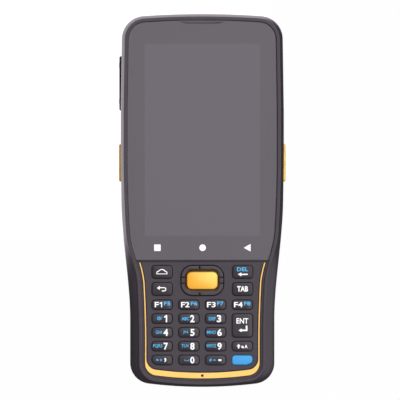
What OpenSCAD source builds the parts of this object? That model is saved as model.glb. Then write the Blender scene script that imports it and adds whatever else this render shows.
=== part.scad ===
// Handheld data terminal: touch panel above a keypad, scan window in the top end, battery in the back.
// It lies on its back. X is its width, +Y points to the scan end, +Z comes out of the panel.

/* [Body] */
// Overall length, from base to scan end
body_len = 169.1; // [158:0.1:182]
// Width across the upper half, without the side keys
body_w = 74; // [70:0.5:82]
// Width across the waist, beside the keypad
waist_w = 65.4; // [62:0.1:70]
// Thickness, from the back to the rim of the front
body_t = 26; // [25:0.1:32]
// Height of the rear housing's top edge
parting_z = 16.4; // [16:0.1:17]
// Thickness of the side walls
side_wall = 2.2; // [1.8:0.1:2.6]
// Thickness of the two end walls
end_wall = 3.2; // [2.8:0.1:3.8]
// Thickness of the back wall
back_wall = 2; // [1.6:0.1:2.4]
// Thickness of the seal between the housings
seal_t = 0.4; // [0.3:0.1:0.8]
// How much the upper half narrows towards the scan end, each side
side_taper = 0.5; // [0:0.1:1]
// Corner radius at the scan end
corner_top = 10.5; // [9:0.5:14]
// Corner radius at the base
corner_bot = 9.5; // [8:0.5:12]

/* [Front rim] */
// How far the rim lies inside the body's outline, upper half
rim_setback = 1.4; // [1:0.05:2.4]
// How far the rim lies inside the body's outline, beside the keypad
waist_setback = 4.05; // [2.5:0.05:4.5]
// How far the rim lies inside the body's outline at the scan end
rim_end_top = 1.25; // [0.8:0.05:2]
// How far the rim lies inside the body's outline at the base
rim_end_bot = 1.15; // [0.8:0.05:2.2]
// Width of the rim beside the panel
rim_w = 1.5; // [1.2:0.1:2]
// Width of the rim beside the keypad
keypad_rim_w = 2.4; // [2:0.1:3.2]

/* [Touch panel] */
// Width of the active area
active_w = 52.3; // [48:0.1:56]
// Height of the active area
active_h = 87.1; // [82:0.1:92]
// Panel above the active area
border_top = 11; // [10:0.1:12.5]
// Panel below the active area
border_bot = 10.7; // [9.5:0.1:12]
// Thickness of the panel
panel_t = 1.4; // [1:0.1:1.8]
// How far the panel lies below the rim
panel_drop = 0.4; // [0.2:0.1:0.6]
// Thickness of the display module
display_t = 3.4; // [2.8:0.1:3.8]
// Border of the display module around the active area
display_edge = 2.5; // [2:0.1:3]
// Thickness of the tray that carries the display
tray_t = 1.2; // [0.8:0.1:1.4]
// Width of the receiver opening at the rim
receiver_w = 19.2; // [14:0.2:22]
// Height of the receiver opening
receiver_h = 1.8; // [1.4:0.1:2.2]

/* [Keypad] */
// Strip between the panel and the keypad plate
step_w = 1.1; // [1:0.1:1.8]
// Thickness of the keypad plate
plate_t = 1.2; // [1:0.1:1.4]
// How far the keypad plate lies below the rim
plate_drop = 1.1; // [0.9:0.1:1.4]
// Width of the trim beside the keypad
trim_w = 0.7; // [0.5:0.1:1]
// Width of the trim band at the base
trim_band = 2.7; // [2:0.1:3.4]
// How far the trim stands above the plate
trim_rise = 0.3; // [0.2:0.1:0.5]
// How far the keys stand above the plate
key_rise = 1; // [0.7:0.1:1.2]
// How far a key travels
key_travel = 0.4; // [0.3:0.05:0.6]
// Plate beside the outer keys
key_margin = 2.8; // [2:0.05:3]
// Gap between columns
col_gap = 2.65; // [2.2:0.05:2.8]
// Gap between rows
row_gap = 1.75; // [1.5:0.05:1.8]
// Corner radius of a key
key_r = 1.7; // [1:0.1:2]
// Large corner radius of the two keys at the base
base_key_r = 3.6; // [2:0.1:4]
// Plate below the last row
base_margin = 3.6; // [2.8:0.05:4]
// Running gap around a key in its hole
key_gap = 0.3; // [0.2:0.05:0.4]
// Thickness of a key's flange
flange_t = 0.7; // [0.5:0.1:0.9]
// Thickness of the silicone mat
mat_t = 1.15; // [0.8:0.05:1.4]
// Thickness of the keypad's circuit board
keypad_board_t = 1.2; // [0.8:0.1:1.4]

/* [Navigation] */
// Width of the navigation ring
ring_w = 19; // [18:0.1:21]
// Height of the navigation ring
ring_h = 13.3; // [13:0.1:14.2]
// Width of the ring's band at its sides
ring_band = 1.5; // [1.4:0.1:1.7]
// Corner radius of the ring
ring_r = 4.3; // [4:0.1:6]
// Width of the scan key
scan_w = 13.9; // [12:0.1:14]
// Height of the scan key
scan_h = 7.9; // [7:0.1:8]
// Plate above the ring
nav_margin = 1.7; // [1.1:0.05:2]
// Plate below the ring
nav_gap = 2.1; // [1.3:0.05:2.2]
// Width of the keys beside the ring
side_key_w = 9.3; // [8:0.1:10]
// Height of the keys beside the ring
side_key_h = 6; // [5.4:0.1:6.4]
// Gap between the two keys on each side of the ring
side_key_gap = 1.7; // [1.5:0.1:2.2]
// Tilt of the ring up and down, in degrees
ring_tilt = 3; // [2:0.5:3]
// Tilt of the ring to the sides, in degrees
side_tilt = 2; // [1:0.5:2]

/* [Side keys] */
// Length of a trigger
trigger_len = 17; // [14:0.5:20]
// Height of a trigger, across the thickness of the body
trigger_h = 7; // [5:0.5:7]
// Distance of the triggers from the scan end
trigger_y = 67.5; // [62:0.5:72]
// Length of the volume rocker
rocker_len = 24.7; // [20:0.1:27]
// Height of the volume rocker
rocker_h = 5; // [4:0.5:6]
// Distance of the rocker from the scan end
rocker_y = 31.4; // [28:0.1:34]
// How far the side keys stand out
side_key_proud = 0.9; // [0.5:0.1:1.2]
// Height of the side keys' middle
side_key_z = 10.2; // [9.5:0.1:10.5]
// How far the side keys and the power button travel
side_travel = 0.5; // [0.3:0.1:0.6]
// Width of the power button
power_w = 7; // [5:0.1:8]
// Height of the power button
power_h = 3.2; // [3:0.1:4]

/* [Scan end] */
// Width of the scan window
window_w = 30; // [24:0.5:32]
// Height of the scan window
window_h = 10; // [8:0.1:11]
// Thickness of the scan window
window_t = 1.4; // [1.2:0.1:1.6]
// Distance of the scan window from the middle, to the left
window_x = 5; // [3:0.5:6]
// Height of the window's middle
window_z = 9.2; // [8.5:0.1:9.6]

/* [Back] */
// Width of the battery pack
battery_w = 51.8; // [48:0.1:53]
// Length of the battery pack
battery_len = 67.4; // [60:0.1:70]
// Thickness of the battery pack
battery_t = 12.3; // [11:0.1:12.5]
// How far the battery's cover lies above the resting plane
battery_lift = 0.3; // [0.2:0.05:0.5]
// Distance of the battery pack from the base
battery_y = 18.9; // [17.5:0.1:20]
// Radius of the two pins that the battery swings on
battery_pin_r = 1; // [0.8:0.05:1.2]
// Width of the battery latch
latch_w = 16; // [12:0.5:20]
// Length of the battery latch
latch_len = 7; // [6:0.1:9]
// How far the latch slides
latch_travel = 3; // [2:0.1:3.5]
// Distance of the camera from the scan end
camera_from_end = 28; // [24:0.5:32]
// Distance of the camera from the middle, to the left
camera_off = 10; // [8:0.5:12]
// Side of the camera's window
camera_w = 9; // [8:0.1:11]
// Radius of the flash lens
flash_r = 2; // [1.6:0.1:2.4]
// Distance of the speaker's middle from the scan end
speaker_from_end = 50; // [46:0.5:54]
// Width of the speaker
speaker_w = 20; // [16:0.5:24]
// Length of the speaker
speaker_h = 14; // [12:0.5:16]
// Width of a charging contact
contact_w = 2.4; // [2:0.1:3]
// Length of a charging contact
contact_l = 4; // [3:0.1:5]
// Distance from one contact to the next
contact_pitch = 5; // [4:0.1:5.5]
// Radius of the bore of a strap insert
insert_bore_r = 1.25; // [1:0.05:1.4]
// Length of a strap insert
insert_len = 6; // [5:0.1:8]
// Radius of a housing screw's head
screw_head_r = 2.2; // [2:0.1:2.4]
// Radius of a housing screw's shank
screw_r = 1.1; // [0.9:0.05:1.3]

/* [Hidden] */
$fn = 48;

// Colours
housing_c = "#4d464e";
panel_c = "#6b676d";
yellow_c = "#f9c03f";
key_c = "#3f3a41";
board_c = "#2f6b45";
steel_c = "#b9bcc0";
gold_c = "#d9b65c";

// Fits
fit_gap = 0.3;          // between pieces that move past each other
seat_gap = 0.2;         // around a piece that is fixed in a recess
pin_gap = 0.05;         // around a pin in its bore
stop_gap = 0.05;        // left where a travel ends
plate_gap = 0.4;        // between the plate and the flanges below it
over_cut = 1;           // how far a cut runs past a face
flange_lap = 0.8;       // how far a side key's flange laps the wall
side_flange_t = 0.8;
switch_in = fit_gap + side_flange_t + side_travel + stop_gap; // from the side wall in to the switches
board_in = side_wall + switch_in + seat_gap;

// Heights, from the rim down
panel_top = body_t - panel_drop;
panel_seat = panel_top - panel_t;
plate_top = body_t - plate_drop;
plate_seat = plate_top - plate_t;
key_top = plate_top + key_rise;
key_flange_top = plate_seat - plate_gap;
key_bottom = key_flange_top - flange_t;
mat_top = key_bottom - key_travel - stop_gap;
gimbal_t = 0.6;
gimbal_in = 0.5; // how far the gimbal lies inside the ring's outline
gimbal_bottom = mat_top + ring_w / 2 * sin(side_tilt) + 0.15;
gimbal_top = gimbal_bottom + gimbal_t;
ring_bottom = gimbal_top + ring_h / 2 * sin(ring_tilt) + 0.13;
keypad_board_top = mat_top - mat_t;
keypad_board_bottom = keypad_board_top - keypad_board_t;
display_bottom = panel_seat - display_t;
tray_bottom = display_bottom - tray_t;
ledge_t = 1.9;
ceiling_z = panel_seat - ledge_t;
front_bottom = parting_z + seal_t;

// Heights, from the back up
screw_seat = 2.4; // under the screws' heads
screw_head_t = 1.7;
battery_top = battery_lift + battery_t;
bay_top = battery_top + fit_gap;
bay_wall = 1.3;
board_bottom = bay_top + bay_wall;
board_t = 1.2;
board_top = board_bottom + board_t;

// Ends
top_y = body_len / 2;
bot_y = -body_len / 2;
end_arc_top = 380;
end_arc_bot = 200;
waist_from = 0;
waist_to = -54;
taper_from = 40;

base_rim_more = 0.2; // how much wider the rim is at the base than beside the keypad

// A plan is a rounded outline: half-width above and below the waist, where the waist starts and ends,
// the two ends, the corner radii, the radii of the two end arcs, the taper of the upper half,
// and the shoulder above the waist: how much it draws in, and where it starts and ends.
body_plan = [
    body_w / 2, waist_w / 2, waist_from, waist_to, top_y, bot_y,
    corner_top, corner_bot, end_arc_top, end_arc_bot, side_taper, 0.4, 26, -14
];
front_plan = [
    body_w / 2 - rim_setback, waist_w / 2 - waist_setback, waist_from - 14, waist_to + 16,
    top_y - rim_end_top, bot_y + rim_end_bot,
    corner_top - 1, corner_bot - 1.2, end_arc_top, 160, side_taper, 3.1, 18, -64
];

// Steps of an outline
end_steps = 3;
corner_steps = 7;
side_steps = 14;

function clamp01(t) = max(0, min(1, t));
function ease(t) = let (c = clamp01(t)) c * c * (3 - 2 * c);
function mix(a, b, t) = [for (k = [0:len(a) - 1]) a[k] * (1 - t) + b[k] * t];
function arc(x, y, r, from, to, steps) =
    [for (k = [0:steps]) let (a = from + (to - from) * k / steps) [x + r * cos(a), y + r * sin(a)]];
function mirrored(side) =
    concat(side, [for (k = [len(side) - 2:-1:1]) [-side[k][0], side[k][1]]]);

// Half-width of a plan at y
function half_at(p, y) =
    p[0] - p[11] * ease((p[12] - y) / (p[12] - p[13]))
    - (p[0] - p[1] - p[11]) * ease((p[2] - y) / (p[2] - p[3]))
    - p[10] * clamp01((y - taper_from) / (p[4] - p[6] - taper_from));

// A plan's outline, moved in by i at the sides, and by more at the scan end and the base
function outline(p, i = 0, top_in = 0, bot_in = 0) =
    let (
        wb = half_at(p, p[5]) - i,
        wt = half_at(p, p[4]) - i,
        rb = max(1, p[7] - i),
        rt = max(1, p[6] - i),
        bx = wb - rb,
        tx = wt - rt,
        by0 = p[5] + i + bot_in + p[9],
        ty0 = p[4] - i - top_in - p[8],
        by = by0 - sqrt(pow(p[9] - rb, 2) - bx * bx),
        ty = ty0 + sqrt(pow(p[8] - rt, 2) - tx * tx),
        ab = atan2(by - by0, bx),
        at = atan2(ty - ty0, tx)
    )
    mirrored(concat(
        [for (k = [0:end_steps - 1]) let (a = -90 + (ab + 90) * k / end_steps)
            [k == 0 ? 0 : p[9] * cos(a), by0 + p[9] * sin(a)]],
        arc(bx, by, rb, ab, 0, corner_steps),
        [for (k = [1:side_steps - 1]) let (y = by + (ty - by) * k / side_steps) [half_at(p, y) - i, y]],
        arc(tx, ty, rt, 0, at, corner_steps),
        [for (k = [1:end_steps]) let (a = at + (90 - at) * k / end_steps)
            [k == end_steps ? 0 : p[8] * cos(a), ty0 + p[8] * sin(a)]]
    ));

// A rounded rectangle about the origin, with a radius for each corner from lower right round to lower left
function round_rect(w, h, r, steps = 5) =
    let (c = [for (k = [0:3]) min(r[k], w / 2 - 0.05, h / 2 - 0.05)])
    concat(
        arc(w / 2 - c[0], -h / 2 + c[0], c[0], -90, 0, steps),
        arc(w / 2 - c[1], h / 2 - c[1], c[1], 0, 90, steps),
        arc(-w / 2 + c[2], h / 2 - c[2], c[2], 90, 180, steps),
        arc(-w / 2 + c[3], -h / 2 + c[3], c[3], 180, 270, steps)
    );
function moved(points, at) = [for (q = points) [q[0] + at[0], q[1] + at[1]]];
function even(r) = [r, r, r, r];

// A solid through rings of equally many points, each ring [outline, z], from the lowest up
module loft(levels) {
    n = len(levels[0][0]);
    last = (len(levels) - 1) * n;
    points = [for (l = levels) for (q = l[0]) [q[0], q[1], l[1]]];
    sides = [for (k = [0:len(levels) - 2]) for (j = [0:n - 1])
        let (a = k * n + j, b = k * n + (j + 1) % n) each [[a, a + n, b + n], [a, b + n, b]]];
    polyhedron(points, concat(
        [[for (j = [0:n - 1]) j]],
        sides,
        [[for (j = [n - 1:-1:0]) last + j]]
    ));
}

module slab(points, from, to) {
    translate([0, 0, from]) linear_extrude(to - from) polygon(points);
}

module block(x0, x1, y0, y1, z0, z1) {
    translate([x0, y0, z0]) cube([x1 - x0, y1 - y0, z1 - z0]);
}

module post(x, y, r, z0, z1) {
    translate([x, y, z0]) cylinder(h = z1 - z0, r = r);
}

// ---- Panel and keypad layout ----

panel_edge_y = front_plan[4] - rim_w;
active_y = panel_edge_y + 0.2 - border_top - active_h / 2;
panel_low_y = active_y - active_h / 2 - border_bot;
keypad_y1 = panel_low_y - step_w;
trim_gap = keypad_rim_w + trim_w;
trim_low_y = front_plan[5] + keypad_rim_w + base_rim_more;
keypad_y0 = trim_low_y + trim_band;
plate_half = half_at(front_plan, waist_to) - trim_gap;
keys_half = plate_half - key_margin;
key_w = (2 * keys_half - 3 * col_gap) / 4;
col_x = [for (k = [0:3]) -keys_half + key_w / 2 + k * (key_w + col_gap)];
nav_y = keypad_y1 - nav_margin - ring_h / 2;
rows_y1 = nav_y - ring_h / 2 - nav_gap;
rows_y0 = keypad_y0 + base_margin;
key_h = (rows_y1 - rows_y0 - 4 * row_gap) / 5;
row_y = [for (k = [0:4]) rows_y1 - key_h / 2 - k * (key_h + row_gap)];
side_key_x = keys_half - side_key_w / 2;
side_key_dy = (side_key_h + side_key_gap) / 2;
enter_h = 2 * key_h + row_gap;
enter_y = (row_y[1] + row_y[2]) / 2;
key_flange = (row_gap - 0.4) / 2;

// Every key: [name, x, y, width, height, corner radii from lower right round to lower left]
keys = [
    ["key_home", -side_key_x, nav_y + side_key_dy, side_key_w, side_key_h, even(key_r)],
    ["key_back", -side_key_x, nav_y - side_key_dy, side_key_w, side_key_h, even(key_r)],
    ["key_delete", side_key_x, nav_y + side_key_dy, side_key_w, side_key_h, even(key_r)],
    ["key_tab", side_key_x, nav_y - side_key_dy, side_key_w, side_key_h, even(key_r)],
    ["key_f1", col_x[0], row_y[0], key_w, key_h, even(key_r)],
    ["key_f2", col_x[1], row_y[0], key_w, key_h, even(key_r)],
    ["key_f3", col_x[2], row_y[0], key_w, key_h, even(key_r)],
    ["key_f4", col_x[3], row_y[0], key_w, key_h, even(key_r)],
    ["key_1", col_x[0], row_y[1], key_w, key_h, even(key_r)],
    ["key_2", col_x[1], row_y[1], key_w, key_h, even(key_r)],
    ["key_3", col_x[2], row_y[1], key_w, key_h, even(key_r)],
    ["key_4", col_x[0], row_y[2], key_w, key_h, even(key_r)],
    ["key_5", col_x[1], row_y[2], key_w, key_h, even(key_r)],
    ["key_6", col_x[2], row_y[2], key_w, key_h, even(key_r)],
    ["key_7", col_x[0], row_y[3], key_w, key_h, even(key_r)],
    ["key_8", col_x[1], row_y[3], key_w, key_h, even(key_r)],
    ["key_9", col_x[2], row_y[3], key_w, key_h, even(key_r)],
    ["key_comma", col_x[0], row_y[4], key_w, key_h, [key_r, key_r, key_r, base_key_r]],
    ["key_0", col_x[1], row_y[4], key_w, key_h, even(key_r)],
    ["key_dash", col_x[2], row_y[4], key_w, key_h, even(key_r)],
    ["key_enter", col_x[3], enter_y, key_w, enter_h, even(key_r)],
    ["key_shift", col_x[3], row_y[3], key_w, key_h, even(key_r)],
    ["key_function", col_x[3], row_y[4], key_w, key_h, [base_key_r, key_r, key_r, key_r]]
];

// The keypad's holes and pieces share this outline
function key_ring(k, grow) =
    moved(round_rect(k[3] + 2 * grow, k[4] + 2 * grow, [for (r = k[5]) max(0.1, r + grow)]), [k[1], k[2]]);
function nav_outline(grow) =
    moved(round_rect(ring_w + 2 * grow, ring_h + 2 * grow, even(ring_r + grow), 8), [0, nav_y]);
function scan_outline(grow) =
    moved(round_rect(scan_w + 2 * grow, scan_h + 2 * grow, even(2.4 + grow)), [0, nav_y]);

// ---- Positions of what the housings carry ----

trigger_at = top_y - trigger_y;
rocker_at = top_y - rocker_y;
power_x = body_w / 2 - 16;
window_at = -window_x;
battery_y0 = bot_y + battery_y;
battery_y1 = battery_y0 + battery_len;
bay_half = battery_w / 2 + 0.4;
bay_out = bay_half + bay_wall;
battery_set_back = 1.5; // how far its inner block stays behind its cover, so that it swings clear
battery_cover_t = 2;
pin_in = 8; // how far the battery's contacts lie behind its base end
pin_w = 3;
battery_barrel_r = battery_pin_r + 0.7;
battery_pin_y = battery_y0 + battery_barrel_r;
battery_pin_z = battery_lift + battery_barrel_r;
latch_y0 = battery_y1 + fit_gap + bay_wall + 0.6;
latch_y1 = latch_y0 + latch_len;
latch_flange_t = 1.3;
tongue_w = latch_w * 0.6;
camera_x = -camera_off;
camera_y = top_y - camera_from_end;
flash_x = camera_x + camera_w / 2 + flash_r + 4.5;
speaker_y = top_y - speaker_from_end;
speaker_t = 4;
slot_w = 1.2;
slot_pitch = 2.6;
motor_r = 5;
motor_t = 3;
motor_x = speaker_w / 2 + motor_r + 4;
engine_w = 20;
engine_len = 15;
window_seat = end_wall - 0.75 - window_t;
power_reach = power_w / 2 + fit_gap + flange_lap;
power_back = pow(power_x + power_reach, 2) / (2 * end_arc_top); // how far the arc of the end falls back there
rocker_pin_r = 0.6;
rocker_pin_in = fit_gap + side_flange_t / 2;
rocker_pin_lap = 1.2;
rocker_flange_h = rocker_h + 2 * (fit_gap + flange_lap);
mic_y = trim_low_y + trim_band / 2;
mic_r = 0.5;
contacts_y = bot_y + end_wall + 3 + contact_l / 2;
contact_x = [for (k = [-2.5:1:2.5]) k * contact_pitch];
usb_w = 9;
usb_h = 3.2;
usb_len = 8;
switch_t = 1.5;
switch_w = 4;
screw_end = ceiling_z - 3.2;
lug_r = 2.8;
tray_leg = 1.6;
boss_wall = 1.1;
insert_r = insert_bore_r + 0.85;
insert_floor = 0.8;
// Each pair of screws: [y, how far inside the body's outline]
screw_pairs = [[top_y - 10.5, 8.5], [battery_y1 + 4.25, 8.2], [bot_y + 11, 9.4]];
screw_spots = [for (s = screw_pairs, side = [1, -1]) [side * (half_at(body_plan, s[0]) - s[1]), s[0]]];
insert_x = 20;
insert_y = top_y - 36;
base_insert_y = bot_y + 13.5;
insert_spots = [[-insert_x, insert_y], [insert_x, insert_y], [0, base_insert_y]];

// ---- Outlines in the front ----

display_half_w = active_w / 2 + display_edge;
display_half_h = active_h / 2 + display_edge;
key_open_in = trim_gap + key_margin - key_flange - 0.4;
key_open_y0 = rows_y0 - key_flange - 0.4;
key_open_y1 = keypad_y1 - nav_margin + key_flange + 0.4;

// Half-width where an outline crosses y, and the parts of an outline above and below y
function half_between(points, y) =
    let (hits = [for (k = [0:len(points) / 2 - 1]) let (a = points[k], b = points[k + 1])
        if (a[1] < y && b[1] >= y) a[0] + (b[0] - a[0]) * (y - a[1]) / (b[1] - a[1])])
    hits[0];
function above(points, y) =
    let (right = [for (k = [0:len(points) / 2]) if (points[k][1] > y) points[k]])
    mirrored(concat([[0, y], [half_between(points, y), y]], right));
function below(points, y) =
    let (right = [for (k = [0:len(points) / 2]) if (points[k][1] < y) points[k]])
    mirrored(concat(right, [[half_between(points, y), y], [0, y]]));

function panel_outline(gap) = above(outline(front_plan, rim_w + gap), panel_low_y - seat_gap + gap);
// Moved in by i at the sides, and reaching from y0 to y1
function keypad_outline(i, y0, y1, plan = front_plan) = below(outline(plan, i, 0, y0 - plan[5] - i), y1);
// The last row of keys is straight, so the opening below the keys has a flatter base
key_plan = [for (k = [0:len(front_plan) - 1]) k == 9 ? 2000 : front_plan[k]];
function step_outline() =
    let (w0 = half_at(front_plan, keypad_y1) - keypad_rim_w, w1 = half_at(front_plan, panel_low_y) - rim_w - 0.1)
    [[-w0, keypad_y1 - 0.1], [w0, keypad_y1 - 0.1], [w1, panel_low_y], [-w1, panel_low_y]];
function receiver_outline(gap) =
    let (y1 = panel_edge_y + 0.1 - gap, y0 = y1 - receiver_h + 2 * gap, w = receiver_w / 2 - 2 * gap)
    [[-w + 3.2, y0], [w - 3.2, y0], [w, y1], [-w, y1]];

// ---- Outlines in the sides ----

function wall_x(y) = half_at(body_plan, y) - side_wall;
wall_y = top_y - end_wall;
function side_outline(len, h, grow) = round_rect(h + 2 * grow, len + 2 * grow, even(1.4 + grow));

// Turns a shape drawn flat so that its height points out of the right side, or of the scan end
module out_of_side(y, left = false) {
    mirror([left ? 1 : 0, 0, 0]) translate([wall_x(y), y, side_key_z]) rotate([0, 90, 0]) children();
}
module out_of_end(x, z, back = 0) {
    translate([x, wall_y - back, z]) rotate([-90, 0, 0]) children();
}

// ---- Housings ----

module front_housing() {
    cavity = mix(body_plan, front_plan, 0.4);
    color(housing_c) difference() {
        union() {
            difference() {
                loft([
                    [outline(body_plan), front_bottom],
                    [mix(outline(body_plan), outline(front_plan), 0.22), front_bottom + 3.2],
                    [mix(outline(body_plan), outline(front_plan), 0.68), front_bottom + 6.7],
                    [outline(front_plan), body_t - 0.7],
                    [outline(front_plan, 0.25), body_t - 0.2],
                    [outline(front_plan, 0.7), body_t]
                ]);
                slab(outline(cavity, side_wall, end_wall - side_wall, end_wall - side_wall),
                    front_bottom - over_cut, ceiling_z);
            }
            for (s = screw_spots) screw_lug(s);
        }
        // Recess for the panel, and the display's opening below it
        slab(panel_outline(0), panel_seat, body_t + over_cut);
        block(-display_half_w - seat_gap, display_half_w + seat_gap,
            active_y - display_half_h - seat_gap, active_y + display_half_h + seat_gap,
            ceiling_z - over_cut, panel_seat + over_cut);
        // Recess for the plate and its trim, and the opening for the keys
        slab(keypad_outline(keypad_rim_w, trim_low_y, keypad_y1), plate_seat, body_t + over_cut);
        slab(keypad_outline(key_open_in, key_open_y0, key_open_y1, key_plan), ceiling_z - over_cut,
            plate_seat + over_cut);
        // The strip between the panel and the keypad lies lower than the rim
        slab(step_outline(), plate_top + 0.1, body_t + over_cut);
        // The sound holes of the receiver and the microphone
        slab(receiver_outline(0), panel_seat, body_t + over_cut);
        block(-receiver_w / 4, receiver_w / 4, panel_edge_y - receiver_h, panel_edge_y - receiver_h + 0.7,
            ceiling_z - over_cut, panel_seat + over_cut);
        post(0, mic_y, mic_r, ceiling_z - over_cut, body_t + over_cut);
        for (s = screw_spots) post(s[0], s[1], screw_r, parting_z - over_cut, screw_end + over_cut);
    }
}

// A lug in the front housing that a screw pulls on, joined to the side wall
module screw_lug(s) {
    wall = wall_x(s[1]) + 0.6 - (screw_end - parting_z) * 0.3;
    post(s[0], s[1], lug_r, parting_z, screw_end);
    mirror([s[0] < 0 ? 1 : 0, 0, 0]) block(abs(s[0]), wall, s[1] - lug_r, s[1] + lug_r, front_bottom, screw_end);
}

module rear_housing() {
    color(housing_c) difference() {
        loft([
            [outline(body_plan, 4.5), 0],
            [outline(body_plan, 2.6), 0.8],
            [outline(body_plan, 1.2), 2.2],
            [outline(body_plan, 0.4), 4.5],
            [outline(body_plan), 8],
            [outline(body_plan), parting_z]
        ]);
        difference() {
            slab(outline(body_plan, side_wall, end_wall - side_wall, end_wall - side_wall),
                back_wall, parting_z + over_cut);
            // What stands on the back wall inside: the battery's bay and the bosses
            block(-bay_out, bay_out, battery_y0 - fit_gap - bay_wall, battery_y1 + fit_gap + bay_wall,
                0, board_bottom);
            for (s = screw_spots) post(s[0], s[1], lug_r, 0, parting_z);
            for (s = insert_spots) post(s[0], s[1], insert_r + boss_wall, 0, insert_len + 0.3);
            rocker_lugs();
        }
        out_of_side(rocker_at, true) rocker_pin(pin_gap);
        // The battery's bay, the sockets of its pins, and the holes for its contacts
        slab(battery_opening(), -over_cut, bay_top);
        translate([-bay_out - 0.4, battery_pin_y, battery_pin_z]) rotate([0, 90, 0])
            cylinder(h = 2 * bay_out + 0.8, r = battery_pin_r + 0.08);
        battery_contact_pins(bay_top - over_cut);
        // The latch's slot, and the way of its tongue through the bay's wall
        block(-latch_w / 2 - fit_gap, latch_w / 2 + fit_gap, latch_y0 - fit_gap,
            latch_y1 + latch_travel + fit_gap, -over_cut, back_wall + over_cut);
        block(-tongue_w / 2 - fit_gap, tongue_w / 2 + fit_gap, battery_y1, latch_y0, back_wall + 0.01,
            back_wall + latch_flange_t + 2 * fit_gap);
        // Side keys and power button
        for (left = [false, true]) out_of_side(trigger_at, left)
            slab(side_outline(trigger_len, trigger_h, fit_gap), -over_cut, side_wall + 2);
        out_of_side(rocker_at, true) slab(side_outline(rocker_len, rocker_h, fit_gap), -over_cut, side_wall + 2);
        out_of_end(power_x, side_key_z, power_back) slab(power_outline(fit_gap), -over_cut, end_wall + 2);
        // Scan window: its seat, and the opening behind it
        out_of_end(window_at, window_z) slab(window_outline(0.1), window_seat, end_wall + 2);
        out_of_end(window_at, window_z) slab(window_outline(-1.2), -over_cut, end_wall + 2);
        // Camera, flash and speaker
        slab(camera_outline(0.1), -over_cut, battery_lift + 1);
        post(camera_x, camera_y, camera_w * 0.36, -over_cut, back_wall + over_cut);
        post(flash_x, camera_y, flash_r + 0.05, -over_cut, back_wall + over_cut);
        for (k = [-3:3]) block(k * slot_pitch - slot_w / 2, k * slot_pitch + slot_w / 2,
            speaker_y - speaker_h / 2 + 2, speaker_y + speaker_h / 2 - 2, -over_cut, back_wall + over_cut);
        // Charging contacts, connector, screws and strap inserts
        for (x = contact_x) block(x - contact_w / 2, x + contact_w / 2, contacts_y - contact_l / 2,
            contacts_y + contact_l / 2, -over_cut, back_wall + over_cut);
        block(-usb_w / 2 - 0.1, usb_w / 2 + 0.1, bot_y - over_cut, bot_y + end_wall + over_cut,
            board_bottom - usb_h - 0.1, board_bottom);
        for (s = screw_spots) {
            post(s[0], s[1], screw_head_r + 0.1, -over_cut, screw_seat);
            post(s[0], s[1], screw_r + 0.1, 0, parting_z + over_cut);
        }
        for (s = insert_spots) post(s[0], s[1], insert_r, -over_cut, insert_len);
    }
}

// Lugs on the inside of the left wall, above and below the rocker's flange, that hold its pin
module rocker_lugs() {
    free = rocker_flange_h / 2 + seat_gap;
    out_of_side(rocker_at, true) for (s = [0, 1]) mirror([s, 0, 0])
        block(free, body_t, -1.5, 1.5, -rocker_pin_in - rocker_pin_r - 0.4, 0.5);
}

module rocker_pin(grow) {
    len = rocker_flange_h + 2 * rocker_pin_lap + 2 * grow;
    translate([-len / 2, 0, -rocker_pin_in]) rotate([0, 90, 0]) cylinder(h = len, r = rocker_pin_r + grow);
}

module housing_seal() {
    color("#211d22") translate([0, 0, parting_z]) linear_extrude(seal_t) difference() {
        polygon(outline(body_plan, 0.2));
        polygon(outline(body_plan, 1.7));
    }
}

// ---- Panel and display ----

module touch_panel() {
    color(panel_c) translate([0, 0, panel_seat]) linear_extrude(panel_t) difference() {
        polygon(panel_outline(seat_gap));
        polygon(receiver_outline(-0.1));
    }
}

module display_module() {
    color("#34323a") block(-display_half_w, display_half_w, active_y - display_half_h,
        active_y + display_half_h, display_bottom, panel_seat);
}

module display_tray() {
    color(steel_c) union() {
        block(-display_half_w - seat_gap, display_half_w + seat_gap, active_y - display_half_h - seat_gap,
            active_y + display_half_h + seat_gap, tray_bottom, display_bottom);
        for (x = [-0.8, 0.8], y = [-0.85, 0, 0.85])
            post(x * display_half_w, active_y + y * display_half_h, tray_leg, board_top, tray_bottom);
    }
}

module receiver_mesh() {
    color("#8c878d") slab(receiver_outline(0.1), panel_seat, panel_top - 0.1);
}

module receiver() {
    color(steel_c) block(-7, 7, panel_edge_y - receiver_h - 3.4, panel_edge_y - receiver_h + 0.4,
        ceiling_z - 2.4, ceiling_z);
}

// ---- Keypad ----

module keypad_plate() {
    color("#514a52") translate([0, 0, plate_seat]) linear_extrude(plate_t) difference() {
        polygon(keypad_outline(trim_gap + 0.05, keypad_y0 + 0.05, keypad_y1 - 0.1));
        for (k = keys) polygon(key_ring(k, key_gap));
        polygon(nav_outline(key_gap + 0.1));
    }
}

module keypad_trim() {
    color(yellow_c) difference() {
        translate([0, 0, plate_seat]) linear_extrude(plate_t + trim_rise) difference() {
            polygon(keypad_outline(keypad_rim_w + 0.05, trim_low_y + 0.05, keypad_y1 - 0.1));
            polygon(keypad_outline(trim_gap, keypad_y0, keypad_y1 + over_cut));
        }
        post(0, mic_y, mic_r, plate_seat - over_cut, plate_top + over_cut);
    }
}

function mat_outline() = keypad_outline(keypad_rim_w + fit_gap, key_open_y0 + 0.1, keypad_y1 + 1, key_plan);

module keypad_mat() {
    color("#2a262b") union() {
        slab(mat_outline(), keypad_board_top, mat_top);
        for (s = [-1, 1]) {
            y = nav_y + s * pivot_at(ring_h);
            block(-pivot_r, pivot_r, y - pivot_len / 2, y + pivot_len / 2, keypad_board_top, gimbal_bottom - pin_gap);
        }
        pivots(pivot_r, gimbal_bottom, false);
    }
}

module keypad_board() {
    color(board_c) slab(mat_outline(), keypad_board_bottom, keypad_board_top);
}

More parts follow.
